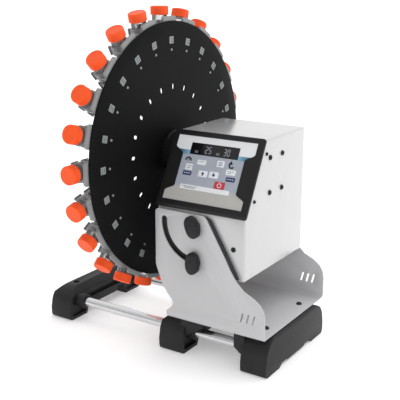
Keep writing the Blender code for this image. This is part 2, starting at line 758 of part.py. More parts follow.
def build_board_tray(material):
    """The tray for the power board, screwed through the head's front and back walls."""
    floor_z = HEAD_BOTTOM + TRAY_HEIGHT
    bm = bmesh.new()
    add_prism(bm, rectangle(TRAY_CENTRE, *TRAY_SIZE), floor_z, floor_z + TRAY_THICKNESS, along_z)
    tray = new_part("board_tray", bm, material, (PIVOT_X, 0.0, PIVOT_Z))
    wall_inner = HEAD_HALF_DEPTH - SHEET - GAP
    tab_middle = (TRAY_SCREW_X, (floor_z + TRAY_SCREW_Z) / 2.0 + 4.0)
    tab = rectangle(tab_middle, TRAY_TAB_WIDTH, TRAY_SCREW_Z - floor_z + 8.0)
    shank = circle((TRAY_SCREW_X, TRAY_SCREW_Z), TRAY_SHANK_RADIUS, 8)
    head = circle((TRAY_SCREW_X, TRAY_SCREW_Z), TRAY_SCREW_RADIUS, 10)
    steps = (
        ("tray_tabs", tab, wall_inner - 6.0, wall_inner),
        ("tray_shanks", shank, wall_inner - 2.0, HEAD_HALF_DEPTH + 1.0),
        ("tray_heads", head, HEAD_HALF_DEPTH + GAP, HEAD_HALF_DEPTH + TRAY_SCREW_PROUD),
    )
    for tool_name, outline, near, far in steps:
        bm = bmesh.new()
        add_prism(bm, outline, near, far, along_y)
        add_prism(bm, outline, -far, -near, along_y)
        combine(tray, "UNION", new_tool(tool_name, bm))


def build_power_inlet(material):
    """A round low-voltage socket in the back wall."""
    bm = bmesh.new()
    inner = HEAD_HALF_DEPTH - 12.0
    def place(u, v, w):
        return Vector((INLET_SPOT[0] + u, w, INLET_SPOT[1] + v))
    outer = HEAD_HALF_DEPTH + GAP
    profile = [
        (inner, INLET_RADIUS),
        (outer, INLET_RADIUS),
        (outer, INLET_RIM_RADIUS),
        (outer + RIM_THICKNESS, INLET_RIM_RADIUS),
    ]
    add_turned(bm, profile, 20, place)
    inlet = new_part("power_inlet", bm, material, (PIVOT_X, 0.0, PIVOT_Z))
    bm = bmesh.new()
    socket = [(inner + 3.0, INLET_SOCKET_RADIUS), (outer + 3.0, INLET_SOCKET_RADIUS)]
    add_turned(bm, socket, 16, place)
    combine(inlet, "DIFFERENCE", new_tool("inlet_socket", bm))
    bm = bmesh.new()
    add_turned(bm, [(inner + 1.0, INLET_PIN_RADIUS), (outer + 0.5, INLET_PIN_RADIUS)], 8, place)
    combine(inlet, "UNION", new_tool("inlet_pin", bm))


def build_switch(bezel_material, rocker_material):
    """The power switch: a bezel in the back wall and a rocker that tips in it."""
    outer = HEAD_HALF_DEPTH + GAP
    u, v = SWITCH_SPOT
    bm = bmesh.new()
    add_prism(bm, rectangle(SWITCH_SPOT, *BEZEL_SIZE), HEAD_HALF_DEPTH - 14.0, outer + 0.5, along_y)
    bezel = new_part("switch_bezel", bm, bezel_material, (PIVOT_X, 0.0, PIVOT_Z))
    bm = bmesh.new()
    add_prism(bm, rectangle(SWITCH_SPOT, *BEZEL_RIM_SIZE), outer, outer + RIM_THICKNESS, along_y)
    combine(bezel, "UNION", new_tool("switch_rim", bm))
    bm = bmesh.new()
    add_prism(bm, rectangle(SWITCH_SPOT, *BEZEL_WELL_SIZE), HEAD_HALF_DEPTH - 8.0, outer + 3.0, along_y)
    combine(bezel, "DIFFERENCE", new_tool("switch_well", bm))
    pivot_y = HEAD_HALF_DEPTH - 3.0
    end = ROCKER_HALF_LENGTH
    profile = [(-end, 1.0), (-end, 4.0), (0.0, 6.2), (end, 5.6), (end, 1.0), (3.0, -3.0), (-3.0, -3.0)]
    def place(across, out, along):
        return Vector((u + across, pivot_y + out, v + along))
    bm = bmesh.new()
    add_prism(bm, profile, -ROCKER_HALF_WIDTH, ROCKER_HALF_WIDTH, place)
    new_part("switch_rocker", bm, rocker_material, (u, pivot_y, v))


# ---- Stand -------------------------------------------------------------------------------


def wall_outline():
    """The stand's side wall in X and Z: broad top, drawn-in left edge and a long sweep to the right."""
    right = PLATE_RIGHT
    points = [(PLATE_LEFT, PLATE_UNDERSIDE_Z), (right, PLATE_UNDERSIDE_Z), (right, AXIS_Z - 252.0)]
    points += [(right - 2.5, AXIS_Z - 239.0), (right - 10.0, AXIS_Z - 227.0), (right - 23.0, AXIS_Z - 217.5)]
    points += [(right - 44.0, AXIS_Z - 208.0), (right - 58.0, AXIS_Z - 194.0)]
    points += [(right - 71.0, AXIS_Z - 175.0), (right - 82.0, AXIS_Z - 155.0), (160.0, AXIS_Z - 89.0)]
    points += [(155.0, AXIS_Z - 83.5), (150.0, AXIS_Z - 82.0), (46.5, AXIS_Z - 82.0)]
    points += [(46.0, AXIS_Z - 192.0), (50.5, AXIS_Z - 205.0), (61.0, AXIS_Z - 232.0)]
    points += [(72.0, AXIS_Z - 247.0), (82.0, AXIS_Z - 258.0), (84.0, AXIS_Z - 266.0)]
    points += [(79.0, AXIS_Z - 274.0), (69.0, AXIS_Z - 281.0)]
    return points


def slot_outline(half_width):
    """The arc slot about the pivot: from straight down to straight left, with round ends."""
    start = 180.0 - SLOT_OVERRUN
    end = 270.0 + SLOT_OVERRUN
    centre = (PIVOT_X, PIVOT_Z)
    points = arc(centre, LOCK_RADIUS + half_width, start, end, 14)
    low_end = arc(centre, LOCK_RADIUS, end, end, 1)[0]
    points += arc(low_end, half_width, end, end + 180.0, 6)[1:-1]
    points += arc(centre, LOCK_RADIUS - half_width, end, start, 14)
    high_end = arc(centre, LOCK_RADIUS, start, start, 1)[0]
    points += arc(high_end, half_width, start + 180.0, start + 360.0, 6)[1:-1]
    return points


def channel_outline():
    """The bent sheet in Y and Z: a base plate, two rounded bends and two upright walls."""
    top = PIVOT_Z + 60.0
    centre_y = WALL_OUTER_Y - WALL_BEND
    centre_z = PLATE_UNDERSIDE_Z + WALL_BEND
    inner_bend = WALL_BEND - WALL
    outside = [(-WALL_OUTER_Y, top)] + arc((-centre_y, centre_z), WALL_BEND, 180.0, 270.0, 4)
    outside += arc((centre_y, centre_z), WALL_BEND, 270.0, 360.0, 4) + [(WALL_OUTER_Y, top)]
    inside = [(WALL_OUTER_Y - WALL, top)] + arc((centre_y, centre_z), inner_bend, 360.0, 270.0, 4)
    inside += arc((-centre_y, centre_z), inner_bend, 270.0, 180.0, 4) + [(WALL - WALL_OUTER_Y, top)]
    return outside + inside


def build_stand(material):
    top_of_plate = PLATE_UNDERSIDE_Z + WALL
    bm = bmesh.new()
    add_prism(bm, channel_outline(), LINING_LEFT - 20.0, PLATE_RIGHT + 5.0, along_x)
    stand = new_part("stand", bm, material)
    bm = bmesh.new()
    add_prism(bm, wall_outline(), -WALL_OUTER_Y - 5.0, WALL_OUTER_Y + 5.0, along_y)
    combine(stand, "INTERSECT", new_tool("stand_side_view", bm))
    bm = bmesh.new()
    for sign in (-1.0, 1.0):
        ends = sorted((sign * (WALL_OUTER_Y - 5.0), sign * (WALL_OUTER_Y + 2.0)))
        pivot_hole = circle((PIVOT_X, PIVOT_Z), BOLT_HOLE_RADIUS, 16)
        add_prism(bm, pivot_hole, ends[0], ends[1], along_y)
        add_prism(bm, slot_outline(SLOT_HALF_WIDTH), ends[0], ends[1], along_y)
        for index in range(STAND_VENT_COUNT):
            low_x = STAND_VENT_LEFT + STAND_VENT_PITCH * index - STAND_VENT_LEAN
            high_x = low_x + 2.0 * STAND_VENT_LEAN - STAND_VENT_WIDTH
            vent = [(low_x, STAND_VENT_LOW_Z), (low_x + STAND_VENT_WIDTH, STAND_VENT_LOW_Z)]
            vent += [(high_x + STAND_VENT_WIDTH, STAND_VENT_HIGH_Z), (high_x, STAND_VENT_HIGH_Z)]
            add_prism(bm, vent, ends[0], ends[1], along_y)
    for foot_name in ("foot_middle", "foot_right"):
        for screw_x, screw_y in plate_screw_spots(foot_name):
            hole = circle((screw_x, screw_y), STAND_HOLE_RADIUS, 10)
            add_prism(bm, hole, PLATE_UNDERSIDE_Z - 1.0, top_of_plate + 1.0, along_z)
    combine(stand, "DIFFERENCE", new_tool("stand_holes", bm))


def build_lining(name, sign, material):
    """A black friction lining inside a wall, a little proud of its right edge, with the same slot."""
    wall_edge = [point for point in wall_outline() if LINING_LOW_Z < point[1] < LINING_HIGH_Z]
    edge = [(x + LINING_PROUD, z) for x, z in wall_edge if x > PIVOT_X]
    outline = [(LINING_LEFT, LINING_LOW_Z), (edge[0][0] + 9.0, LINING_LOW_Z)] + edge
    outline += [(155.5, LINING_HIGH_Z), (LINING_LEFT, LINING_HIGH_Z)]
    outer = WALL_OUTER_Y - WALL - GAP
    ends = sorted((sign * (outer - LINING_THICKNESS), sign * outer))
    bm = bmesh.new()
    add_prism(bm, outline, ends[0], ends[1], along_y)
    lining = new_part(name, bm, material)
    bm = bmesh.new()
    add_prism(bm, circle((PIVOT_X, PIVOT_Z), BOLT_HOLE_RADIUS, 16), ends[0] - 1.0, ends[1] + 1.0, along_y)
    add_prism(bm, slot_outline(SLOT_HALF_WIDTH), ends[0] - 1.0, ends[1] + 1.0, along_y)
    combine(lining, "DIFFERENCE", new_tool(name + "_holes", bm))


def plate_screw_spots(foot_name):
    middle = FOOT_LEFTS[foot_name] + FOOT_WIDTH / 2.0
    if foot_name == "foot_middle":
        middle += 12.0
    else:
        middle -= 2.0
    return [(middle, -FOOT_SCREW_Y), (middle, FOOT_SCREW_Y)]


def foot_outline(arch, top):
    """Side view of a foot in Y and Z: two pads, an arch with a middle boss, and round shoulders."""
    half = [(34.0, arch * 0.6), (39.0, arch), (57.0, arch), (67.0, 0.0), (115.0, 0.0), (118.5, 3.0)]
    half += [(FOOT_HALF_LENGTH, 22.0)]
    half += arc((FOOT_HALF_LENGTH - FOOT_SHOULDER - 2.0, top - FOOT_SHOULDER), FOOT_SHOULDER, 8.0, 90.0, 5)
    mirrored = [(-y, z) for y, z in reversed(half)]
    return half + mirrored


def shave_foot(foot, top, left, right):
    """Slope the long top edges that stand free."""
    shaves = {
        "foot_outrigger": ((left, 1.0, FOOT_SHAVE), (right, -1.0, FOOT_SHAVE)),
        "foot_middle": ((left, 1.0, FOOT_SHAVE),),
        "foot_right": ((right, -1.0, 4.0),),
    }
    bm = bmesh.new()
    for edge, side, shave in shaves[foot.name]:
        corner = [(edge - side, top + 1.0), (edge + side * (shave + 1.0), top + 1.0)]
        corner.append((edge - side, top - shave - 1.0))
        add_prism(bm, corner, -130.0, 130.0, along_y)
    combine(foot, "DIFFERENCE", new_tool(foot.name + "_shoulders", bm))


def finish_outrigger(foot, top, left, right):
    """Blind screw recesses in the top."""
    bm = bmesh.new()
    for y in (-FOOT_SCREW_Y, FOOT_SCREW_Y):
        recess = circle(((left + right) / 2.0, y), RECESS_RADIUS, 12)
        add_prism(bm, recess, top - RECESS_DEPTH, top + 3.0, along_z)
    combine(foot, "DIFFERENCE", new_tool("outrigger_recesses", bm))


def add_collars(foot, right):
    """Collars around the rods on the side that faces the other feet."""
    bm = bmesh.new()
    for y in (-ROD_Y, ROD_Y):
        collar = circle((y, ROD_Z), COLLAR_RADIUS, 20)
        add_prism(bm, collar, right - 3.0, right + COLLAR_LENGTHS[foot.name], along_x)
    combine(foot, "UNION", new_tool(foot.name + "_collars", bm))


def finish_seat(foot, left, right):
    """A wing under the base plate, and the two screws that hold the plate down."""
    if foot.name == "foot_middle":
        wing = [(right - 2.0, SEAT_Z), (right + 40.0, SEAT_Z), (right + 40.0, SEAT_Z - 10.0)]
        wing += [(right + 12.0, SEAT_Z - 27.0), (right - 2.0, SEAT_Z - 40.0)]
    else:
        wing = [(left + 2.0, SEAT_Z), (left - 20.0, SEAT_Z), (left - 20.0, SEAT_Z - 28.0)]
        wing += [(left - 8.0, SEAT_Z - 38.0), (left + 2.0, SEAT_Z - 42.0)]
    bm = bmesh.new()
    add_prism(bm, wing, -WING_HALF_LENGTH, WING_HALF_LENGTH, along_y)
    combine(foot, "UNION", new_tool(foot.name + "_wing", bm))
    head_low = PLATE_UNDERSIDE_Z + WALL + GAP
    steps = (
        ("_shanks", FOOT_SHANK_RADIUS, 8, SEAT_Z - 2.0, SEAT_Z + 4.0),
        ("_heads", FOOT_SCREW_RADIUS, 12, head_low, head_low + FOOT_SCREW_PROUD),
    )
    for suffix, radius, segments, low, high in steps:
        bm = bmesh.new()
        for spot in plate_screw_spots(foot.name):
            add_prism(bm, circle(spot, radius, segments), low, high, along_z)
        combine(foot, "UNION", new_tool(foot.name + suffix, bm))


def build_foot(name, material):
    left = FOOT_LEFTS[name]
    right = left + FOOT_WIDTH
    top = OUTRIGGER_TOP_Z if name == "foot_outrigger" else SEAT_Z
    bm = bmesh.new()
    add_prism(bm, foot_outline(FOOT_ARCHES[name], top), left, right, along_x)
    foot = new_part(name, bm, material)
    shave_foot(foot, top, left, right)
    if name == "foot_outrigger":
        finish_outrigger(foot, top, left, right)
    else:
        finish_seat(foot, left, right)
    if name in COLLAR_LENGTHS:
        add_collars(foot, right)
    low = max(left - 60.0, ROD_SOCKET_LEFT)
    high = min(right + 60.0, ROD_SOCKET_RIGHT)
    bm = bmesh.new()
    for y in (-ROD_Y, ROD_Y):
        add_prism(bm, circle((y, ROD_Z), ROD_RADIUS + GAP, 20), low, high, along_x)
    combine(foot, "DIFFERENCE", new_tool(name + "_rod_holes", bm))


def build_tie_rod(name, y, material):
    bm = bmesh.new()
    add_prism(bm, circle((y, ROD_Z), ROD_RADIUS, 20), ROD_ENDS[0], ROD_ENDS[1], along_x)
    rod = new_part(name, bm, material)
    smooth(rod)


# ---- Knobs -------------------------------------------------------------------------------


def knob_outline(tilt):
    """An oval two-winged grip: long and narrow, turned by a tilt angle."""
    points = []
    steps = 20
    turn = math.radians(tilt)
    for index in range(steps):
        angle = 2.0 * math.pi * index / steps
        u = KNOB_WIDTH / 2.0 * math.cos(angle)
        v = KNOB_LENGTH / 2.0 * math.sin(angle)
        points.append((u * math.cos(turn) + v * math.sin(turn), -u * math.sin(turn) + v * math.cos(turn)))
    return points


def build_knob(name, spot, sign, tilt, material):
    x, z = spot
    def place(u, v, w):
        return Vector((x + u, sign * w, z + v))
    face = WALL_OUTER_Y + GAP
    bm = bmesh.new()
    add_prism(bm, knob_outline(tilt), face + KNOB_NECK, face + KNOB_DEPTH, place)
    knob = new_part(name, bm, material, (x, 0.0, z))
    soften(knob, 2.0, 1, 60.0)
    bm = bmesh.new()
    profile = [(HEAD_HALF_DEPTH - 8.0, BOLT_RADIUS), (face, BOLT_RADIUS)]
    profile += [(face, KNOB_NECK_RADIUS), (face + KNOB_NECK + 1.0, KNOB_NECK_RADIUS)]
    add_turned(bm, profile, 20, place)
    combine(knob, "UNION", new_tool(name + "_bolt", bm))


# ---- Materials ---------------------------------------------------------------------------


def white_sheet():
    return make_material("white_sheet", (0.72, 0.72, 0.73), 0.45)


def grey_sheet():
    return make_material("grey_sheet", (0.60, 0.60, 0.61), 0.45)


def black_plastic():
    return make_material("black_plastic", (0.025, 0.025, 0.027), 0.5)


def disc_black():
    return make_material("disc_black", (0.012, 0.012, 0.013), 0.6)


def clip_grey():
    return make_material("clip_grey", (0.42, 0.43, 0.42), 0.5)


def tube_and_cap():
    return make_material("tube_and_cap", (0.9, 0.25, 0.06), 0.4)


def bright_steel():
    return make_material("bright_steel", (0.6, 0.6, 0.62), 0.3, 1.0)


def foil_grey():
    return make_material("foil_grey", (0.38, 0.40, 0.45), 0.5)


def display_black():
    return make_material("display_black", (0.01, 0.01, 0.012), 0.1)


def key_white():
    return make_material("key_white", (0.8, 0.8, 0.84), 0.5)


def key_blue():
    return make_material("key_blue", (0.04, 0.06, 0.16), 0.5)


def key_red():
    return make_material("key_red", (0.65, 0.05, 0.07), 0.5)


def motor_grey():
    return make_material("motor_grey", (0.3, 0.3, 0.32), 0.5, 0.6)


# ---- Assembly ----------------------------------------------------------------------------


def build_rotor(black):
    build_disc(disc_black())
    build_clip_ring(clip_grey())
    build_tubes(tube_and_cap())
    build_drive_hub(black)
    build_clamp_nut(black)


def build_head(black, steel):
    build_housing(white_sheet())
    build_panel_frame(black)
    build_foil(foil_grey())
    build_window(display_black())
    blue = key_blue()
    white = key_white()
    key_materials = {
        "key_left": blue,
        "key_right": blue,
        "key_up": white,
        "key_down": white,
        "key_mode": white,
        "key_stop": key_red(),
    }
    build_keys(key_materials)
    build_drive_bracket(black)
    build_gear_motor(motor_grey())
    build_bearing(steel)
    build_board_tray(black)
    build_power_inlet(black)
    build_switch(black, black)


def build_base(black, steel):
    build_stand(grey_sheet())
    build_lining("lining_front", -1.0, black)
    build_lining("lining_back", 1.0, black)
    for foot_name in FOOT_LEFTS:
        build_foot(foot_name, black)
    build_tie_rod("tie_rod_front", -ROD_Y, steel)
    build_tie_rod("tie_rod_back", ROD_Y, steel)


def build_knobs(black):
    pivot_spot, lock_spot = bolt_spots()
    for side, sign in (("front", -1.0), ("back", 1.0)):
        build_knob("pivot_knob_" + side, pivot_spot, sign, KNOB_TILTS["pivot"], black)
        build_knob("lock_knob_" + side, lock_spot, sign, KNOB_TILTS["lock"], black)


def build_all():
    clear_scene()
    black = black_plastic()
    steel = bright_steel()
    build_rotor(black)
    build_head(black, steel)
    build_base(black, steel)
    build_knobs(black)


build_all()
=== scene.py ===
import math

import bmesh
import bpy
from mathutils import Matrix, Vector


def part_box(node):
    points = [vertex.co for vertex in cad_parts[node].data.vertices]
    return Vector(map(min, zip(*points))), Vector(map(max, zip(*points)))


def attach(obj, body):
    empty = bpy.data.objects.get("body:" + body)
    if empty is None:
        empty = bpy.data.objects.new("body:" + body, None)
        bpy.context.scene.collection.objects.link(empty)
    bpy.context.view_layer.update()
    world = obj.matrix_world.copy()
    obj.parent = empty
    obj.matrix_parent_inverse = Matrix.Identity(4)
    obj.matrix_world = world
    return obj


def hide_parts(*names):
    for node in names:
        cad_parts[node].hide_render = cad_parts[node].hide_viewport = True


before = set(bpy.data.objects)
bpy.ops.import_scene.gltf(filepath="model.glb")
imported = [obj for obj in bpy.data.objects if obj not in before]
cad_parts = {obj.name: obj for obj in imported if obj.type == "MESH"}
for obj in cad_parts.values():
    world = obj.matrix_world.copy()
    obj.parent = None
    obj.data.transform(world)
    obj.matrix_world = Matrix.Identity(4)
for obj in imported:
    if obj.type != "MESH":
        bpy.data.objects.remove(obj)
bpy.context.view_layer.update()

# Lengths below are millimetres; new_object() turns them into metres.
MM = 0.001
M_TO_MM = 1000

# ---- Places read from the frame ----


def node_box(node):
    low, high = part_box(node)
    return low * M_TO_MM, high * M_TO_MM


disc_low, disc_high = node_box("disc")
head_low, head_high = node_box("housing")
hub_low, hub_high = node_box("drive_hub")
nut_low, nut_high = node_box("clamp_nut")
stand_low, stand_high = node_box("stand")
rod_low, rod_high = node_box("tie_rod_front")

DISC_BACK_X = disc_high.x
DISC_FRONT_X = disc_low.x
AXIS_Z = (disc_low.z + disc_high.z) / 2
DISC_RADIUS = (disc_high.z - disc_low.z) / 2
SHAFT_HOLE_RADIUS = 8.5
# The clearance left between a part and the hole or face it meets
GAP = 0.3

# Tube stations
STATIONS = 24
FOOT_RING = 214
FOOT_SIZE = 13.8
PIN_RING = 196
PIN_RADIUS = 2.9
VENT_COUNT = 20
VENT_RING = 125
VENT_PHASE = 2.5
VENT_WIDTH = 7
VENT_LENGTH = 12
TUBE_X = DISC_BACK_X - 27.4
TUBE_RADIUS = 14.7
TUBE_WALL = 1.1
TUBE_TIP_RING = 160
TUBE_CONE_RING = 177
CAP_LOW_RING = 260.6
CAP_TOP_RING = 277
CAP_RADIUS = 17.2
CAP_RIBS = 36
CAP_RIB_DEPTH = 0.55
HUB_END_X = DISC_BACK_X + 41
HUB_RADIUS = 41
SHAFT_RADIUS = 8
NUT_RADIUS = 25.9
NUT_TEETH = 48
NUT_TOOTH_DEPTH = 0.9
CLIP_HALF_WIDTH = 22
CLIP_FAR_HALF_WIDTH = 17.5
CLIP_TOP_X = DISC_BACK_X - 43.5
CLIP_INNER_RADIUS = 15.1
CLIP_WALL = 3.4
CLIP_LOW_RING = 206
CLIP_HIGH_RING = 250
PLATE_RING = 258.5
CARRIER_LOW_RING = 189
CARRIER_HIGH_RING = 226

# Drive head
HEAD_LEFT = head_low.x
HEAD_RIGHT = head_high.x
HEAD_HALF_DEPTH = head_high.y
HEAD_BOTTOM = head_low.z
HEAD_TOP = head_high.z
PANEL_FOOT_Z = AXIS_Z - 79.4
PANEL_TOP_Y = -43.7
PANEL_MID_X = (HEAD_LEFT + HEAD_RIGHT) / 2 - 0.2
PANEL_HALF_WIDTH = 94.7
PANEL_OVERHANG = 3
PANEL_LOW_S = -0.5
PANEL_HIGH_S = 149.5
PANEL_THICKNESS = 6
PANEL_LIP_Y = -HEAD_HALF_DEPTH - 2.9
PANEL_RUN = PANEL_TOP_Y + HEAD_HALF_DEPTH
PANEL_RISE = HEAD_TOP - PANEL_FOOT_Z
PANEL_SLOPE_LENGTH = math.hypot(PANEL_RUN, PANEL_RISE)
POCKET_N = 3
FOIL_FRONT_N = 5
FOIL_LOW_S = 14.2
FOIL_HIGH_S = 139.8
FOIL_WIDE = 84.5
FOIL_WAIST = 66
WINDOW = (-0.2, 115.7, 103, 22.5)
KEY_BACK_N = 3.6
KEY_FRONT_N = 5.6
KEYS = {
    "key_left": (-46, 68, 19, 8),
    "key_up": (-12.2, 70.2, 20, 13),
    "key_down": (11, 71, 20, 13),
    "key_right": (47, 67.2, 19, 8),
    "key_mode": (19.4, 93, 16, 13),
    "key_stop": (28, 53.4, 22, 13.5),
}

# Stand
PIVOT_X = HEAD_LEFT + 89.4
PIVOT_Z = AXIS_Z - 103
LOCK_RADIUS = 69
SLOT_RADIUS = 67.6
SLOT_HALF_WIDTH = 6.4
WALL_OUTER_Y = stand_high.y
WALL = 2.5
WALL_BEND = 13
PLATE_Z = stand_low.z
PLATE_RIGHT = stand_high.x
PLATE_LEFT = PLATE_RIGHT - 213
SEAT_Z = PLATE_Z - GAP
ROD_Y = (rod_low.y + rod_high.y) / -2
ROD_Z = (rod_low.z + rod_high.z) / 2
ROD_RADIUS = (rod_high.z - rod_low.z) / 2
PIVOT_HOLE_RADIUS = 4.5

# Screw heads, as radius and height
DRIVE_SCREW = (5, 3)
PANEL_SCREW = (3.4, 2.6)
TRAY_SCREW = (4.8, 2.5)
PLATE_SCREW = (5.6, 3.4)


# ---- Shapes ----


def along_x(u, v, w):
    return Vector((w, u, v))


def along_y(u, v, w):
    return Vector((u, w, v))


def along_z(u, v, w):
    return Vector((u, v, w))


def side_place(side, x, y, z):
    """Places about a point, with w along x, or against it when side is -1."""
    def place(u, v, w):
        return Vector((x + side * w, y + u, z + v))
    return place


def wall_place(side, x, y, z):
    """Places about a point, with w along y, or against it when side is -1."""
    def place(u, v, w):
        return Vector((x + u, y + side * w, z + v))
    return place


def up_place(x, y, z):
    def place(u, v, w):
        return Vector((x + u, y + v, z + w))
    return place


rotor_place = side_place(1, 0, 0, AXIS_Z)


def panel_point(u, s, n):
    """A point on the sloping panel: u from its middle, s up the slope, n out of its face."""
    up = Vector((0, PANEL_RUN / PANEL_SLOPE_LENGTH, PANEL_RISE / PANEL_SLOPE_LENGTH))
    out = Vector((0, -PANEL_RISE / PANEL_SLOPE_LENGTH, PANEL_RUN / PANEL_SLOPE_LENGTH))
    return Vector((PANEL_MID_X + u, -HEAD_HALF_DEPTH, PANEL_FOOT_Z)) + up * s + out * n


def add_band(bm, lower, upper, slot=0):
    """Faces between two rings of as many points."""
    for index in range(len(lower)):
        after = (index + 1) % len(lower)
        face = bm.faces.new((lower[index], lower[after], upper[after], upper[index]))
        face.material_index = slot


def add_ends(bm, first, last, slot=0):
    bm.faces.new(list(reversed(first))).material_index = slot
    bm.faces.new(last).material_index = slot


def add_skin(bm, rings, close=True):
    """Join rings in their order, then fill both ends, or join the last ring to the first."""
    for lower, upper in zip(rings, rings[1:]):
        add_band(bm, lower, upper)
    if close:
        add_ends(bm, rings[0], rings[-1])
    else:
        add_band(bm, rings[-1], rings[0])


def add_prism(bm, outline, low, high, place, slot=0):
    bottom = [bm.verts.new(place(u, v, low)) for u, v in outline]
    top = [bm.verts.new(place(u, v, high)) for u, v in outline]
    add_ends(bm, bottom, top, slot)
    add_band(bm, bottom, top, slot)


def add_turned(bm, profile, segments, place, close=True, radius_at=None):
    """Turn (along, radius) points about an axis; radius_at can shape each radius round the turn."""
    rings = []
    for along, radius in profile:
        ring = []
        for index in range(segments):
            angle = 2 * math.pi * index / segments
            r = radius_at(along, radius, index) if radius_at else radius
            ring.append(bm.verts.new(place(r * math.cos(angle), r * math.sin(angle), along)))
        rings.append(ring)
    add_skin(bm, rings, close)


def prism(outline, low, high, place):
    """One prism in a bmesh of its own."""
    bm = bmesh.new()
    add_prism(bm, outline, low, high, place)
    return bm


def turned(profile, segments, place, close=True, radius_at=None):
    """One turned solid in a bmesh of its own."""
    bm = bmesh.new()
    add_turned(bm, profile, segments, place, close, radius_at)
    return bm


def rounded_box(u, v, width, height, radius, steps=6):
    points = []
    for side_u, side_v, start in ((1, 1, 0), (-1, 1, 90), (-1, -1, 180), (1, -1, 270)):
        middle_u = u + side_u * (width / 2 - radius)
        middle_v = v + side_v * (height / 2 - radius)
        for step in range(steps + 1):
            angle = math.radians(start + 90 * step / steps)
            points.append((middle_u + radius * math.cos(angle), middle_v + radius * math.sin(angle)))
    return points


def rectangle(u, v, width, height):
    left, right = u - width / 2, u + width / 2
    low, high = v - height / 2, v + height / 2
    return [(left, low), (right, low), (right, high), (left, high)]


def circle(u, v, radius, segments):
    return arc(u, v, radius, 0, 360, segments)[:-1]


def arc(u, v, radius, start, end, steps):
    points = []
    for step in range(steps + 1):
        angle = math.radians(start + (end - start) * step / steps)
        points.append((u + radius * math.cos(angle), v + radius * math.sin(angle)))
    return points


def round_corners(points, radius, steps):
    """Round each corner of a closed outline, as far as its edges allow."""
    nearly_straight = math.radians(172)
    longest_reach = 0.45
    rounded = []
    for index, point in enumerate(points):
        corner = Vector(point)
        back = Vector(points[index - 1]) - corner
        on = Vector(points[(index + 1) % len(points)]) - corner
        turn = back.angle(on)
        if turn > nearly_straight:
            rounded.append(tuple(corner))
            continue
        reach = min(radius / math.tan(turn / 2), back.length * longest_reach, on.length * longest_reach)
        start = corner + back.normalized() * reach
        end = corner + on.normalized() * reach
        for step in range(steps + 1):
            t = step / steps
            rounded.append(tuple(start * (1 - t) ** 2 + corner * 2 * t * (1 - t) + end * t * t))
    return rounded


# ---- Objects ----


def add_object(name, data):
    made = bpy.data.objects.new(name, data)
    bpy.context.collection.objects.link(made)
    return made


def new_object(name, bm, *materials):
    for vert in bm.verts:
        vert.co = vert.co * MM
    bmesh.ops.recalc_face_normals(bm, faces=bm.faces)
    mesh = bpy.data.meshes.new(name)
    bm.to_mesh(mesh)
    bm.free()
    for material in materials:
        mesh.materials.append(material)
    return add_object(name, mesh)


def combine(piece, operation, bm):
    """Boolean with a throwaway tool, applied at once."""
    tool = new_object(piece.name + "_tool", bm)
    modifier = piece.modifiers.new("combine", "BOOLEAN")
    modifier.operation = operation
    modifier.solver = "EXACT"
    modifier.object = tool
    apply_modifiers(piece)
    mesh = tool.data
    bpy.data.objects.remove(tool, do_unlink=True)
    bpy.data.meshes.remove(mesh)


def cut(piece, bm):
    combine(piece, "DIFFERENCE", bm)


def join(piece, bm):
    combine(piece, "UNION", bm)


def apply_modifiers(piece):
    bpy.context.view_layer.update()
    evaluated = piece.evaluated_get(bpy.context.evaluated_depsgraph_get())
    mesh = bpy.data.meshes.new_from_object(evaluated)
    old = piece.data
    piece.modifiers.clear()
    piece.data = mesh
    bpy.data.meshes.remove(old)
    mesh.name = piece.name


def soften(piece, width, segments=3, angle=30):
    modifier = piece.modifiers.new("edges", "BEVEL")
    modifier.width = width * MM
    modifier.segments = segments
    modifier.limit_method = "ANGLE"
    modifier.angle_limit = math.radians(angle)
    modifier.harden_normals = False
    apply_modifiers(piece)


def mount(piece, body, nodes=()):
    smooth_below(piece, 40)
    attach(piece, body)
    if nodes:
        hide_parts(*nodes)


def smooth_below(piece, angle):
    piece.data.shade_smooth()
    piece.data.set_sharp_from_angle(angle=math.radians(angle))


# ---- Materials ----


def srgb(red, green, blue):
    """Colour from 0 to 255 per channel, as linear light."""
    values = []
    for channel in (red, green, blue):
        c = channel / 255
        values.append(c / 12.92 if c <= 0.04045 else ((c + 0.055) / 1.055) ** 2.4)
    return (values[0], values[1], values[2], 1)


def shade(colour, factor):
    return (colour[0] * factor, colour[1] * factor, colour[2] * factor, 1)


def set_inputs(node, values):
    for name, value in values.items():
        node.inputs[name].default_value = value


def add_noise(tree, coordinates, scale, detail, roughness):
    noise = tree.nodes.new("ShaderNodeTexNoise")
    set_inputs(noise, {"Scale": scale, "Detail": detail, "Roughness": roughness})
    tree.links.new(coordinates, noise.inputs["Vector"])
    return noise.outputs["Fac"]


def add_range(tree, value, low, high, from_low=0.3, from_high=0.7):
    node = tree.nodes.new("ShaderNodeMapRange")
    set_inputs(node, {"From Min": from_low, "From Max": from_high, "To Min": low, "To Max": high})
    tree.links.new(value, node.inputs["Value"])
    return node.outputs["Result"]


def add_mix(tree, factor, first, second):
    node = tree.nodes.new("ShaderNodeMix")
    node.data_type = "RGBA"
    tree.links.new(factor, node.inputs["Factor"])
    for socket, value in ((node.inputs["A"], first), (node.inputs["B"], second)):
        if isinstance(value, tuple):
            socket.default_value = value
        else:
            tree.links.new(value, socket)
    return node.outputs["Result"]


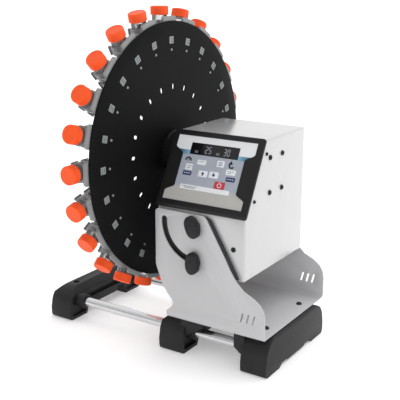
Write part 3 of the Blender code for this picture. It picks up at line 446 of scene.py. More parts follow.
def surface(name, rgb, roughness, specular, mottle, grain, bump,
            metallic=0, patch=35, vary=0.06, stretch=None, coat=0):
    """A principled material with mottled colour, uneven gloss and a fine grain in its surface."""
    material = bpy.data.materials.new(name)
    material.use_nodes = True
    tree = material.node_tree
    shader = tree.nodes["Principled BSDF"]
    set_inputs(shader, {"Metallic": metallic, "Specular IOR Level": specular})
    set_inputs(shader, {"Coat Weight": coat, "Coat Roughness": 0.2})
    coordinates = tree.nodes.new("ShaderNodeTexCoord").outputs["Object"]
    grain_from = coordinates
    if stretch:
        mapping = tree.nodes.new("ShaderNodeMapping")
        mapping.inputs["Scale"].default_value = stretch
        tree.links.new(coordinates, mapping.inputs["Vector"])
        grain_from = mapping.outputs["Vector"]
    colour = srgb(*rgb)
    patches = add_range(tree, add_noise(tree, coordinates, patch, 3, 0.5), 0, 1)
    tones = add_mix(tree, patches, shade(colour, 1 - mottle), shade(colour, 1 + mottle))
    tree.links.new(tones, shader.inputs["Base Color"])
    fine = add_noise(tree, grain_from, grain, 4, 0.6)
    uneven = add_range(tree, fine, roughness - vary, roughness + vary)
    tree.links.new(uneven, shader.inputs["Roughness"])
    bumps = tree.nodes.new("ShaderNodeBump")
    set_inputs(bumps, {"Strength": 1, "Distance": bump * MM})
    tree.links.new(fine, bumps.inputs["Height"])
    tree.links.new(bumps.outputs["Normal"], shader.inputs["Normal"])
    return material


def clear_plastic(name):
    """Clear moulded plastic for the tubes: see-through when faced, with painted grey shade towards its edges
    for a clear cylinder's dark sides.
    """
    material = surface(name, (232, 236, 238), 0.08, 0.5, 0.02, 160, 0.01, vary=0.03)
    tree = material.node_tree
    shader = tree.nodes["Principled BSDF"]
    shader.inputs["IOR"].default_value = 1.35
    facing = tree.nodes.new("ShaderNodeLayerWeight")
    facing.inputs["Blend"].default_value = 0.5
    # Painted shade: the colour turns grey where the tube is seen edge-on.
    edge = add_range(tree, facing.outputs["Facing"], 0, 1, 0.06, 0.3)
    tones = add_mix(tree, edge, srgb(240, 243, 244), srgb(128, 134, 136))
    tree.links.new(tones, shader.inputs["Base Color"])
    clearness = add_range(tree, facing.outputs["Facing"], 0.92, 0.25, 0.06, 0.3)
    tree.links.new(clearness, shader.inputs["Transmission Weight"])
    return material


def fading_blue(name, side):
    """The printed blue line that darkens across its length, away from the panel's middle."""
    material = surface(name, (40, 84, 122), 0.4, 0.5, 0.06, 1200, 0.003)
    tree = material.node_tree
    shader = tree.nodes["Principled BSDF"]
    split = tree.nodes.new("ShaderNodeSeparateXYZ")
    tree.links.new(tree.nodes["Texture Coordinate"].outputs["Object"], split.inputs["Vector"])
    start = (PANEL_MID_X + side * 52) * MM
    end = (PANEL_MID_X + side * 78) * MM
    ramp = add_range(tree, split.outputs["X"], 0, 1, start, end)
    tones = add_mix(tree, ramp, srgb(130, 184, 214), srgb(16, 44, 72))
    tree.links.new(tones, shader.inputs["Base Color"])
    return material


# After the colour: roughness, specular level, mottling, scale of the grain and height of the bumps
white_coat = surface("white_paint", (200, 200, 201), 0.22, 1, 0.012, 1500, 0.003, vary=0.03, coat=0.8)
grey_coat = surface("grey_powder_coat", (198, 198, 200), 0.36, 0.45, 0.012, 1500, 0.035)
moulded_black = surface("moulded_black", (36, 36, 37), 0.5, 0.25, 0.12, 1800, 0.05)
panel_black = surface("panel_black", (30, 30, 31), 0.35, 0.3, 0.08, 2200, 0.02)
hub_black = surface("hub_black", (24, 24, 25), 0.3, 0.45, 0.1, 900, 0.01)
disc_black = surface("disc_black", (21, 21, 22), 0.5, 0.06, 0.1, 1400, 0.02, patch=14)
# Black of the real linings, also used as painted shade in the stand's slots and along the stand walls' edges.
lining_and_shade_black = surface("lining_and_shade_black", (60, 60, 62), 0.75, 0.2, 0.15, 700, 0.06)
screw_black = surface("screw_black", (44, 44, 46), 0.35, 0.4, 0.1, 2500, 0.01, metallic=0.6)
clip_plastic = surface("clip_plastic", (144, 147, 148), 0.42, 0.5, 0.05, 900, 0.02, patch=60)
cap_orange = surface("cap_orange", (255, 88, 24), 0.42, 0.35, 0.05, 1500, 0.015, patch=90)
clear_tube = clear_plastic("clear_tube")
print_black = surface("print_black", (40, 42, 46), 0.5, 0.5, 0.1, 1500, 0.003)
print_white = surface("print_white", (236, 238, 240), 0.45, 0.5, 0.02, 1500, 0.003)
rod_steel = surface("rod_steel", (214, 214, 216), 0.24, 0.5, 0.03, 500, 0.006, 1, stretch=(0.05, 1, 1))
ground_steel = surface("ground_steel", (190, 190, 193), 0.28, 0.5, 0.04, 900, 0.006, metallic=1)
motor_grey = surface("motor_grey", (120, 121, 124), 0.45, 0.5, 0.06, 800, 0.02, metallic=0.5)
foil_blue_grey = surface("foil_blue_grey", (170, 176, 188), 0.42, 0.35, 0.03, 1600, 0.008, patch=90)
foil_beige = surface("foil_beige", (186, 185, 180), 0.42, 0.35, 0.02, 1600, 0.008, patch=90)
foil_white = surface("foil_white", (236, 238, 240), 0.42, 0.35, 0.015, 1600, 0.008)
display_glass = surface("display_glass", (14, 14, 18), 0.12, 0.5, 0.1, 400, 0.002, vary=0.04)
display_digit = surface("display_digit", (150, 152, 160), 0.4, 0.5, 0.05, 900, 0.002)
key_blue = surface("key_blue", (52, 62, 104), 0.45, 0.35, 0.05, 1600, 0.008)
key_white = surface("key_white", (232, 234, 244), 0.45, 0.35, 0.02, 1600, 0.008)
key_red = surface("key_red", (202, 58, 72), 0.45, 0.35, 0.05, 1600, 0.008)
line_blue_left = fading_blue("line_blue_left", -1)
line_blue_right = fading_blue("line_blue_right", 1)


# ---- Rotor ----


def station_angle(index):
    return 2 * math.pi * index / STATIONS


def ring_place(angle):
    """Places (across, ring, x) at an angle round the disc."""
    def place(u, v, w):
        y = v * math.sin(angle) + u * math.cos(angle)
        z = AXIS_Z + v * math.cos(angle) - u * math.sin(angle)
        return Vector((w, y, z))
    return place


def build_disc():
    bm = prism(circle(0, 0, DISC_RADIUS, 240), DISC_FRONT_X, DISC_BACK_X, rotor_place)
    disc = new_object("disc_look", bm, disc_black)
    soften(disc, 0.5, 2)
    low, high = DISC_FRONT_X - 1, DISC_BACK_X + 1
    bm = prism(circle(0, 0, SHAFT_HOLE_RADIUS, 40), low, high, rotor_place)
    for index in range(STATIONS):
        place = ring_place(station_angle(index))
        add_prism(bm, rounded_box(0, FOOT_RING, FOOT_SIZE, FOOT_SIZE, 0.8, 3), low, high, place)
        add_prism(bm, circle(0, PIN_RING, PIN_RADIUS, 20), low, high, place)
    for index in range(VENT_COUNT):
        place = ring_place(2 * math.pi * index / VENT_COUNT + math.radians(VENT_PHASE))
        add_prism(bm, rounded_box(0, VENT_RING, VENT_WIDTH, VENT_LENGTH, 3.4, 6), low, high, place)
    cut(disc, bm)
    mount(disc, "rotor_body", ["disc"])


def clip_section():
    """The clip's base and its two thin sprung jaws, seen along the tube, in (across, x)."""
    base_x = DISC_FRONT_X - GAP
    base_low = base_x - 7
    inner = CLIP_INNER_RADIUS
    outer = inner + CLIP_WALL
    half = [(CLIP_HALF_WIDTH, base_x), (CLIP_HALF_WIDTH, base_low)]
    start = math.degrees(math.acos((base_low - TUBE_X - 1) / outer))
    for step in range(15):
        angle = math.radians(start + (132 - start) * step / 14)
        half.append((outer * math.sin(angle), TUBE_X + outer * math.cos(angle)))
    half += [(CLIP_FAR_HALF_WIDTH - 0.6, CLIP_TOP_X + 1.6), (CLIP_FAR_HALF_WIDTH - 2.4, CLIP_TOP_X)]
    half.append((12.4, CLIP_TOP_X))
    for step in range(19):
        angle = math.radians(138 * (1 - step / 18.5))
        half.append((inner * math.sin(angle), TUBE_X + inner * math.cos(angle)))
    return half + [(-u, v) for u, v in reversed(half)]


def build_clips():
    """One carrier ring, and one clip mesh shown at each station."""
    back = DISC_FRONT_X - GAP
    top = ring_place(0)
    profile = [(back - 2, CARRIER_LOW_RING), (back - 2, CARRIER_HIGH_RING)]
    profile += [(back, CARRIER_HIGH_RING), (back, CARRIER_LOW_RING)]
    carrier = new_object("clip_carrier", turned(profile, 240, rotor_place, close=False), clip_plastic)
    soften(carrier, 0.4, 2)
    mount(carrier, "rotor_body", ["clip_ring"])

    def place(u, v, w):
        return Vector((v, u, AXIS_Z + w))

    clip = new_object("clip_01", prism(clip_section(), CLIP_LOW_RING, CLIP_HIGH_RING, place), clip_plastic)
    # A slot across the jaws splits them into an upper and a lower pair
    middle = (CLIP_LOW_RING + CLIP_HIGH_RING) / 2
    slot = rounded_box(CLIP_TOP_X + 12, AXIS_Z + middle, 30, 9, 3, 4)
    cut(clip, prism(slot, -40, 40, along_y))
    # Gussets from the jaws to the base
    bm = bmesh.new()
    for ring in (CLIP_LOW_RING + 7, CLIP_HIGH_RING - 9):
        for side in (-1, 1):
            gusset = [(side * (CLIP_HALF_WIDTH - 0.5), back - 5), (side * 10, back - 5)]
            gusset += [(side * 16.5, TUBE_X - 5), (side * (CLIP_HALF_WIDTH - 3), TUBE_X + 2)]
            add_prism(bm, gusset, ring - 1.5, ring + 1.5, place)
    join(clip, bm)
    # A tall back plate with round corners and a hole
    plate_low = CLIP_LOW_RING + 1
    plate = rounded_box(0, (plate_low + PLATE_RING) / 2, 42, PLATE_RING - plate_low, 5, 6)
    join(clip, prism(plate, DISC_BACK_X - 8, back, top))
    hole = circle(0, CLIP_HIGH_RING - 3, 2.6, 24)
    cut(clip, prism(hole, DISC_BACK_X - 20, DISC_BACK_X - 5, top))
    soften(clip, 0.35, 1, 50)
    # The foot's face is a raised rim with two bars across a recess
    size = FOOT_SIZE - 2 * GAP
    bm = prism(rounded_box(0, FOOT_RING, size, size, 1, 3), back - 1, DISC_BACK_X - 0.8, top)
    for offset, height in ((-5.2, 2.8), (0, 2.6), (5.2, 2.8)):
        bar = rounded_box(0, FOOT_RING + offset, size, height, 0.6, 2)
        add_prism(bm, bar, DISC_BACK_X - 0.9, DISC_BACK_X + 0.6, top)
    for offset in (-5.6, 5.6):
        bar = rounded_box(offset, FOOT_RING, 2, size, 0.6, 2)
        add_prism(bm, bar, DISC_BACK_X - 0.9, DISC_BACK_X + 0.55, top)
    add_prism(bm, circle(0, PIN_RING, PIN_RADIUS - 2 * GAP, 20), back - 1, DISC_BACK_X + 1, top)
    bm.transform(Matrix.Scale(MM, 4))
    bm.from_mesh(clip.data)
    bmesh.ops.recalc_face_normals(bm, faces=bm.faces)
    bm.to_mesh(clip.data)
    bm.free()
    clip.data.transform(Matrix.Translation(Vector((0, 0, -AXIS_Z * MM))))
    place_round(clip, "clip_%02d", 40)


def place_round(first, pattern, smooth, nodes=()):
    """Show one mesh, drawn at the top station about the axis, at all stations."""
    smooth_below(first, smooth)
    centre = Matrix.Translation(Vector((0, 0, AXIS_Z * MM)))
    for index in range(STATIONS):
        piece = first
        if index:
            piece = add_object(pattern % (index + 1), first.data)
        piece.matrix_world = centre @ Matrix.Rotation(-station_angle(index), 4, "X")
        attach(piece, "rotor_body")
        if nodes:
            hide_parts(nodes[index])


def tube_place(u, v, w):
    """Turned about the top station's tube; w runs outwards along it."""
    return Vector((TUBE_X + v, u, w))


def build_tubes():
    outer = [(TUBE_TIP_RING, 1.2), (TUBE_TIP_RING + 0.5, 2.6), (TUBE_TIP_RING + 1.6, 3.6)]
    outer += [(TUBE_CONE_RING - 1, 13.9), (TUBE_CONE_RING + 1, 14.35)]
    outer += [(CAP_LOW_RING - 3, TUBE_RADIUS - 0.05), (CAP_LOW_RING + 0.6, TUBE_RADIUS - 0.05)]
    inner = []
    for ring, radius in outer:
        in_cone = radius < 13
        inner.append((ring + TUBE_WALL if in_cone else ring, max(radius - TUBE_WALL, 0.5)))
    bm = turned(outer + list(reversed(inner)), 48, tube_place, close=False)
    nodes = ["tube_%02d" % (index + 1) for index in range(STATIONS)]
    place_round(new_object("tube_body_01", bm, clear_tube), "tube_body_%02d", 50, nodes)

    low, top = CAP_LOW_RING, CAP_TOP_RING

    def ribbed(along, radius, index):
        inside = low + 1.5 < along < top - 1.5
        return radius - (CAP_RIB_DEPTH if index % 4 in (0, 3) and inside else 0)

    profile = [(low + 1, 15.2), (low, 15.6), (low, CAP_RADIUS - 0.3), (low + 0.5, CAP_RADIUS)]
    profile += [(low + 1.5, CAP_RADIUS), (low + 2, CAP_RADIUS), (top - 2.2, CAP_RADIUS)]
    profile += [(top - 1.5, CAP_RADIUS - 0.1), (top - 0.6, CAP_RADIUS - 0.6), (top, CAP_RADIUS - 1.6)]
    profile += [(top, 14.2), (top - 0.5, 13.8), (top - 0.5, 3)]
    bm = turned(profile, CAP_RIBS * 4, tube_place, radius_at=ribbed)
    # Printed scale and writing patch, facing away from the disc
    for step in range(9):
        wide = 0.42 if step % 2 else 0.26
        add_print(bm, TUBE_CONE_RING + 9 + 8.4 * step, 0.5, -0.9, -0.9 + wide, 1)
    add_print(bm, TUBE_CONE_RING + 42, 52, 0.05, 0.75, 2)
    cap = new_object("tube_cap_01", bm, cap_orange, print_black, print_white)
    place_round(cap, "tube_cap_%02d", 35)


def add_print(bm, ring, height, start, end, slot):
    """A thin printed patch round the tube, between two angles from its front."""
    steps = 8
    outline = []
    for radius, order in ((TUBE_RADIUS - 0.1, range(steps + 1)), (TUBE_RADIUS + 0.12, range(steps, -1, -1))):
        for step in order:
            angle = start + (end - start) * step / steps
            outline.append((radius * math.sin(angle), -radius * math.cos(angle)))
    add_prism(bm, outline, ring - height / 2, ring + height / 2, tube_place, slot)


def build_hub():
    low, high, radius = DISC_BACK_X + GAP, HUB_END_X, HUB_RADIUS
    profile = [(low, SHAFT_RADIUS), (low, radius - 1.4), (low + 0.4, radius - 0.5), (low + 1.2, radius)]
    profile += [(low + 9, radius), (low + 9.6, radius - 0.8), (low + 11.4, radius - 0.8), (low + 12, radius)]
    profile += [(high - 1.2, radius), (high - 0.4, radius - 0.5), (high, radius - 1.4), (high, 12)]
    profile += [(high + 1.5, 10), (high + 1.5, SHAFT_RADIUS)]
    hub = new_object("hub_look", turned(profile, 128, rotor_place, close=False), hub_black)
    # Three set-screw holes round the rim
    screw_x = low + 26
    bm = bmesh.new()
    for degrees in (30, 150, 270):
        ring = ring_place(math.radians(degrees))
        add_turned(bm, [(radius - 5, 3.2), (radius + 4, 3.2)], 24, lambda u, v, w: ring(v, w, screw_x + u))
    cut(hub, bm)
    mount(hub, "rotor_body", ["drive_hub"])

    tip, end = hub_low.x, hub_high.x
    profile = [(tip, 1.5), (tip, SHAFT_RADIUS - 1), (tip + 1, SHAFT_RADIUS), (end - 1, SHAFT_RADIUS)]
    profile.append((end, SHAFT_RADIUS - 1))
    shaft = new_object("drive_shaft", turned(profile, 48, rotor_place), ground_steel)
    cut(shaft, turned([(tip - 1, 2.6), (tip + 0.2, 2.6), (tip + 2.4, 0.3)], 24, rotor_place))
    mount(shaft, "rotor_body")


def build_clamp_nut():
    low, high = nut_low.x, nut_high.x

    def knurled(along, radius, index):
        inside = low + 1.4 < along < high - 1.4 and radius > 20
        return radius - (NUT_TOOTH_DEPTH if index % 4 in (0, 3) and inside else 0)

    profile = [(high, 8.3), (high, 24.6), (high - 0.5, 25.4), (high - 1.2, NUT_RADIUS)]
    profile += [(high - 1.6, NUT_RADIUS), (low + 1.6, NUT_RADIUS), (low + 1.2, NUT_RADIUS)]
    profile += [(low + 0.5, 25.4), (low, 24.4), (low, 20)]
    profile += [(low + 1.6, 18.6), (low + 1.6, 12.5), (low + 0.4, 11), (low + 0.4, 8.3)]
    bm = turned(profile, NUT_TEETH * 4, rotor_place, close=False, radius_at=knurled)
    mount(new_object("clamp_nut_look", bm, hub_black), "rotor_body", ["clamp_nut"])


# ---- Screws ----


def add_screw(bm, place, radius, height):
    """A domed socket-head screw: its head stands on w = 0, with a six-sided socket."""
    key = radius * 0.42
    segments = 24
    angles = [2 * math.pi * index / segments for index in range(segments)]
    profile = [(-0.6, 0.9), (0, 0.97), (height * 0.18, 1), (height * 0.45, 0.97), (height * 0.8, 0.8)]
    profile.append((height, 0.56))
    rings = []
    for along, scale in profile:
        r = radius * scale
        rings.append([bm.verts.new(place(r * math.cos(a), r * math.sin(a), along)) for a in angles])
    for along in (height, height * 0.4):
        ring = []
        for a in angles:
            r = key / math.cos(a % (math.pi / 3) - math.pi / 6)
            ring.append(bm.verts.new(place(r * math.cos(a), r * math.sin(a), along)))
        rings.append(ring)
    add_skin(bm, rings)


# ---- Drive head ----


def head_outline(inset):
    """The head's side profile in (y, z), drawn in by an inset."""
    slope = PANEL_RISE / PANEL_RUN
    shift = inset * PANEL_SLOPE_LENGTH / PANEL_RUN
    front, back = -HEAD_HALF_DEPTH + inset, HEAD_HALF_DEPTH - inset
    bottom, top = HEAD_BOTTOM + inset, HEAD_TOP - inset
    top_y = -HEAD_HALF_DEPTH + (top + shift - PANEL_FOOT_Z) / slope
    foot_z = PANEL_FOOT_Z + slope * inset - shift
    return [(front, bottom), (back, bottom), (back, top), (top_y, top), (front, foot_z)]


def span(side, near, far):
    """Two distances from the middle plane as a low and a high y on one side."""
    return sorted((side * near, side * far))


# The housing's sheet and its holes
SHEET = 2
SHEET_BEND = 4
HUB_HOLE_RADIUS = 26
DRIVE_HOLE_RADIUS = 2.5
INLET_HOLE_RADIUS = 8.3
SWITCH_HOLE = (20.6, 13.6)
PANEL_OPENING = (0.2, 74.5, HEAD_RIGHT - HEAD_LEFT - 8, 137)
# Screws on the head's end faces, as y and height above the axis
DRIVE_SCREWS = [(-26.5, 17.3), (20.5, 17.3), (20.5, -48), (-26.5, -48)]
PANEL_SCREWS = [(-40.5, 26.3), (-83, -52.5)]
# Places on the head's walls, as x and z
TRAY_SCREW_SPOT = (HEAD_LEFT + 165, AXIS_Z - 137)
INLET_SPOT = (HEAD_LEFT + 31, AXIS_Z + 18)
SWITCH_SPOT = (HEAD_LEFT + 67, AXIS_Z + 18)


def build_housing():
    housing = new_object("housing_look", prism(head_outline(0), HEAD_LEFT, HEAD_RIGHT, along_x), white_coat)
    soften(housing, SHEET_BEND, 6)
    cut(housing, prism(head_outline(SHEET), HEAD_LEFT + SHEET, HEAD_RIGHT - SHEET, along_x))
    bm = prism(rectangle(*PANEL_OPENING), -7, 12, panel_point)
    add_prism(bm, circle(0, 0, HUB_HOLE_RADIUS, 48), HEAD_LEFT - 2, HEAD_LEFT + 4, rotor_place)
    for u, v in DRIVE_SCREWS:
        hole = circle(u, AXIS_Z + v, DRIVE_HOLE_RADIUS, 16)
        add_prism(bm, hole, HEAD_RIGHT - 4, HEAD_RIGHT + 1, along_x)
    inside, outside = HEAD_HALF_DEPTH - 4, HEAD_HALF_DEPTH + 1
    for side in (-1, 1):
        low, high = span(side, inside, outside)
        for z in (PIVOT_Z, PIVOT_Z - LOCK_RADIUS):
            add_prism(bm, circle(PIVOT_X, z, PIVOT_HOLE_RADIUS, 32), low, high, along_y)
    add_prism(bm, circle(*INLET_SPOT, INLET_HOLE_RADIUS, 40), inside, outside, along_y)
    add_prism(bm, rectangle(*SWITCH_SPOT, *SWITCH_HOLE), inside, outside, along_y)
    cut(housing, bm)
    mount(housing, "head_body", ["housing"])


def foil_half_width(s):
    """The foil is widest at both ends and eases in to a waist between them."""
    low_ease = min(max((s - 30) / 13, 0), 1)
    high_ease = min(max((118 - s) / 14, 0), 1)
    ease = min(low_ease, high_ease)
    ease = ease * ease * (3 - 2 * ease)
    return FOIL_WIDE + (FOIL_WAIST - FOIL_WIDE) * ease


def foil_outline(inset, low_s=FOIL_LOW_S, high_s=FOIL_HIGH_S):
    """The waisted outline between two heights, with points only where its sides curve."""
    low, high = low_s + inset, high_s - inset
    levels = sorted({low, high, *range(29, 46), *range(102, 120)})
    levels = [s for s in levels if low <= s <= high]
    right = [(foil_half_width(s) - inset, s) for s in levels]
    return right + [(-u, s) for u, s in reversed(right)]


def build_panel_frame():
    middle = (PANEL_LOW_S + PANEL_HIGH_S) / 2
    width = 2 * PANEL_HALF_WIDTH + PANEL_OVERHANG
    outline = rounded_box(PANEL_OVERHANG / 2, middle, width, PANEL_HIGH_S - PANEL_LOW_S, 5, 8)
    rim = new_object("panel_frame_look", prism(outline, GAP, PANEL_THICKNESS, panel_point), panel_black)
    soften(rim, 1.4, 4)
    # The low lip is trimmed upright in front of the head
    front = -HEAD_HALF_DEPTH - 20
    low, high = PANEL_FOOT_Z - 20, PANEL_FOOT_Z + 20
    trim = [(front, low), (PANEL_LIP_Y, low), (PANEL_LIP_Y, high), (front, high)]
    cut(rim, prism(trim, HEAD_LEFT - 10, HEAD_RIGHT + 10, along_x))
    cut(rim, prism(foil_outline(0), POCKET_N, PANEL_THICKNESS + 2, panel_point))
    mount(rim, "head_body", ["panel_frame"])


def build_foil():
    bm = prism(foil_outline(GAP), POCKET_N + GAP, FOIL_FRONT_N, panel_point)
    foil = new_object("foil_look", bm, foil_blue_grey)
    low, high = POCKET_N - 1, POCKET_N + 5
    bm = prism(rectangle(*WINDOW), low, high, panel_point)
    for key in KEYS.values():
        add_prism(bm, rounded_box(*key, 1.5, 5), low, high, panel_point)
    cut(foil, bm)
    mount(foil, "head_body", ["keypad_foil"])


PRINT_LOW_N = FOIL_FRONT_N - 0.1
PRINT_HIGH_N = FOIL_FRONT_N + 0.14


def build_print(name, outlines, material, low=PRINT_LOW_N, high=PRINT_HIGH_N, body="head_body"):
    """Printed areas on the panel, each a skin of ink."""
    bm = bmesh.new()
    for outline in outlines:
        add_prism(bm, outline, low, high, panel_point)
    mount(new_object(name, bm, material), body)


def half_strip(side, low_s, high_s, inner, inset):
    """A foil-edge strip on one side, from an inner line to the foil's edge."""
    levels = [low_s + (high_s - low_s) * i / 8 for i in range(9)]
    edge = [(side * (foil_half_width(s) - inset), s) for s in levels]
    return [(side * inner, low_s)] + edge + [(side * inner, high_s)]


def build_graphics():
    """The panel's coloured areas, with icons and dashes in place of lettering."""
    inset = 0.8
    line_low, line_high = 103.5, 112
    u, s, width, height = WINDOW
    top = s + height / 2
    left, right = width / 2 - u + 0.2, width / 2 + u + 0.2
    half, high = FOIL_WIDE - inset, FOIL_HIGH_S - inset
    outlines = [[(-half, top), (half, top), (half, high), (-half, high)]]
    outlines.append(half_strip(-1, line_high, top, left, inset))
    outlines.append(half_strip(1, line_high, top, right, inset))
    build_print("print_header", outlines, foil_white)
    build_print("print_line_left", [half_strip(-1, line_low, line_high, left, inset)], line_blue_left)
    build_print("print_line_right", [half_strip(1, line_low, line_high, right, inset)], line_blue_right)
    build_print("print_lower", [foil_outline(inset, FOIL_LOW_S, 44)], foil_beige, high=FOIL_FRONT_N + 0.08)
    labels = [(-45.1, 80, 15, 11.5), (-20.6, 91.2, 18.6, 9), (44.4, 80, 20, 10)]
    labels.append((-1, 42.2, 105, 8.6))
    build_print("print_labels", [rounded_box(*label, 1, 3) for label in labels], foil_white)
    # Plain icons: a dial with a hand, and a turning arrow
    marks = [arc(-50.5, 91.6, 7.4, 0, 180, 16) + arc(-50.5, 91.6, 4.2, 180, 0, 16)]
    marks.append([(-52, 91.4), (-49, 91.4), (-47.6, 95.6)])
    marks.append(arc(42.6, 93.2, 6.4, 330, 120, 16) + arc(42.6, 93.2, 3.4, 120, 330, 16))
    marks.append([(35.6, 94.6), (40.4, 102), (44.2, 94.4)])
    # Dashes for captions: the first one's middle, its level, how many, their step and their size
    small, large = (4.2, 3, 1), (4.6, 3.4, 1.1)
    rows = [(-47.6, 81.8, 3, small), (-47.6, 78, 2, small), (-25, 92.4, 3, small), (39.6, 81.4, 3, small)]
    rows += [(39.6, 78.2, 2, small), (-48, 43.4, 7, large), (-42, 40.8, 5, large)]
    for first, level, count, (step, width, height) in rows:
        for index in range(count):
            marks.append(rectangle(first + step * index, level, width, height))
    build_print("print_marks", marks, print_black, low=FOIL_FRONT_N, high=FOIL_FRONT_N + 0.2)


SEGMENTS = {0: "abcdef", 2: "abged", 3: "abgcd", 5: "afgcd"}


def digit_outlines(number, u, s, width, height):
    """Seven-segment strokes of one digit in a box centred on (u, s)."""
    thick = width * 0.27
    x = width / 2 - thick / 2
    y = height / 2 - thick / 2
    long_u = width - 1.3 * thick
    long_s = height / 2 - 1.3 * thick
    where = {
        "a": (0, y, long_u, thick), "g": (0, 0, long_u, thick), "d": (0, -y, long_u, thick),
        "f": (-x, y / 2, thick, long_s), "b": (x, y / 2, thick, long_s),
        "e": (-x, -y / 2, thick, long_s), "c": (x, -y / 2, thick, long_s),
    }
    outlines = []
    for letter in SEGMENTS[number]:
        du, ds, w, h = where[letter]
        outlines.append(rectangle(u + du, s + ds, w, h))
    return outlines


def build_display():
    u, s, width, height = WINDOW
    outline = rounded_box(u, s, width - 2 * GAP, height - 2 * GAP, 1, 4)
    bm = prism(outline, POCKET_N + GAP, FOIL_FRONT_N + 0.2, panel_point)
    window = new_object("display_look", bm, display_glass)
    mount(window, "head_body", ["display_window"])
    outlines = []
    for number, centre in ((2, -16.8), (5, -9.6), (3, 22.6), (0, 29.8)):
        outlines += digit_outlines(number, centre, s - 0.6, 5.8, 13.5)
    for centre in (-38, 8):
        for drop in (6.8, 4.4):
            outlines.append(rectangle(centre, s - drop, 7, 1.1))
    build_print("display_digits", outlines, display_digit, FOIL_FRONT_N, FOIL_FRONT_N + 0.3)


def build_key_mark(name, outlines, ink):
    build_print(name + "_mark", outlines, ink, KEY_FRONT_N - 0.05, KEY_FRONT_N + 0.1, name + "_body")


def build_keys():
    # Each paint with a name for it
    blue, red, white = (key_blue, "key_blue"), (key_red, "key_red"), (key_white, "key_white")
    paints = {"key_left": blue, "key_right": blue, "key_stop": red}
    for name, (u, s, width, height) in KEYS.items():
        paint, slot_name = paints.get(name, white)
        outline = rounded_box(u, s, width - 2 * GAP, height - 2 * GAP, 1.3, 5)
        key = new_object(name + "_look", prism(outline, KEY_BACK_N, KEY_FRONT_N, panel_point), paint)
        soften(key, 0.4, 3)
        mount(key, name + "_body", [name])
    arrow = [(-3.6, -0.4), (-1.3, -0.4), (-1.3, -3.8), (1.3, -3.8), (1.3, -0.4), (3.6, -0.4), (0, 3.8)]
    for name, way in (("key_up", 1), ("key_down", -1)):
        u, s = KEYS[name][:2]
        build_key_mark(name, [[(u + way * du, s + way * ds) for du, ds in arrow]], print_black)
    u, s = KEYS["key_mode"][:2]
    bars = [rectangle(u, s + 2.6 * row, 8, 1) for row in (-1, 0, 1)]
    build_key_mark("key_mode", bars, print_black)
    u, s = KEYS["key_stop"][:2]
    ring = arc(u, s, 4.6, 120, 420, 18) + arc(u, s, 3.3, 420, 120, 18)
    build_key_mark("key_stop", [ring, rectangle(u, s + 4, 1.3, 4.4)], key_white)
    for name in ("key_left", "key_right"):
        u, s = KEYS[name][:2]
        bars = [rectangle(u + 5 * column, s, 3.4, 1.1) for column in (-1, 0, 1)]
        build_key_mark(name, bars, key_white)


def build_head_screws():
    bm = bmesh.new()
    for u, v in DRIVE_SCREWS:
        add_screw(bm, side_place(1, HEAD_RIGHT + GAP, u, AXIS_Z + v), *DRIVE_SCREW)
    mount(new_object("drive_screws", bm, screw_black), "head_body")
    bm = bmesh.new()
    for u, v in PANEL_SCREWS:
        add_screw(bm, side_place(1, HEAD_RIGHT + GAP, u, AXIS_Z + v), *PANEL_SCREW)
        add_screw(bm, side_place(-1, HEAD_LEFT - GAP, u, AXIS_Z + v), *PANEL_SCREW)
    mount(new_object("panel_screws", bm, screw_black), "head_body")
    bm = bmesh.new()
    x, z = TRAY_SCREW_SPOT
    for side in (-1, 1):
        add_screw(bm, wall_place(side, x, side * (HEAD_HALF_DEPTH + GAP), z), *TRAY_SCREW)
    mount(new_object("tray_screws", bm, screw_black), "head_body")


def build_inside():
    """The bracket's plate and the tray inside the head, shown without the plain screw heads."""
    high = HEAD_RIGHT - SHEET - GAP
    plate = rounded_box(-2, AXIS_Z - 15, 60, 84, 3, 4)
    bracket = new_object("drive_bracket_look", prism(plate, high - 4, high, along_x), screw_black)
    mount(bracket, "head_body", ["drive_bracket"])
    low = HEAD_BOTTOM + 12
    plate = rounded_box(HEAD_LEFT + 95, 0, 150, 215, 3, 4)
    tray = new_object("board_tray_look", prism(plate, low, low + 2.5, along_z), screw_black)
    mount(tray, "head_body", ["board_tray"])


def build_slot_shade_sheets():
    """Black sheets on the head's side walls, seen through the stand's arc slots: painted shade for the dark
    inside of the slots.
    """
    half_width = 8
    start, end = 172, 318
    outline = arc(PIVOT_X, PIVOT_Z, LOCK_RADIUS + half_width, start, end, 40)
    outline += arc(PIVOT_X, PIVOT_Z, LOCK_RADIUS - half_width, end, start, 40)
    hole = circle(PIVOT_X, PIVOT_Z - LOCK_RADIUS, PIVOT_HOLE_RADIUS, 32)
    for name, side in (("slot_shade_front", -1), ("slot_shade_back", 1)):
        low, high = span(side, HEAD_HALF_DEPTH + GAP, HEAD_HALF_DEPTH + 1.5)
        shade_sheet = new_object(name, prism(outline, low, high, along_y), lining_and_shade_black)
        cut(shade_sheet, prism(hole, low - 1, high + 1, along_y))
        mount(shade_sheet, "head_body")


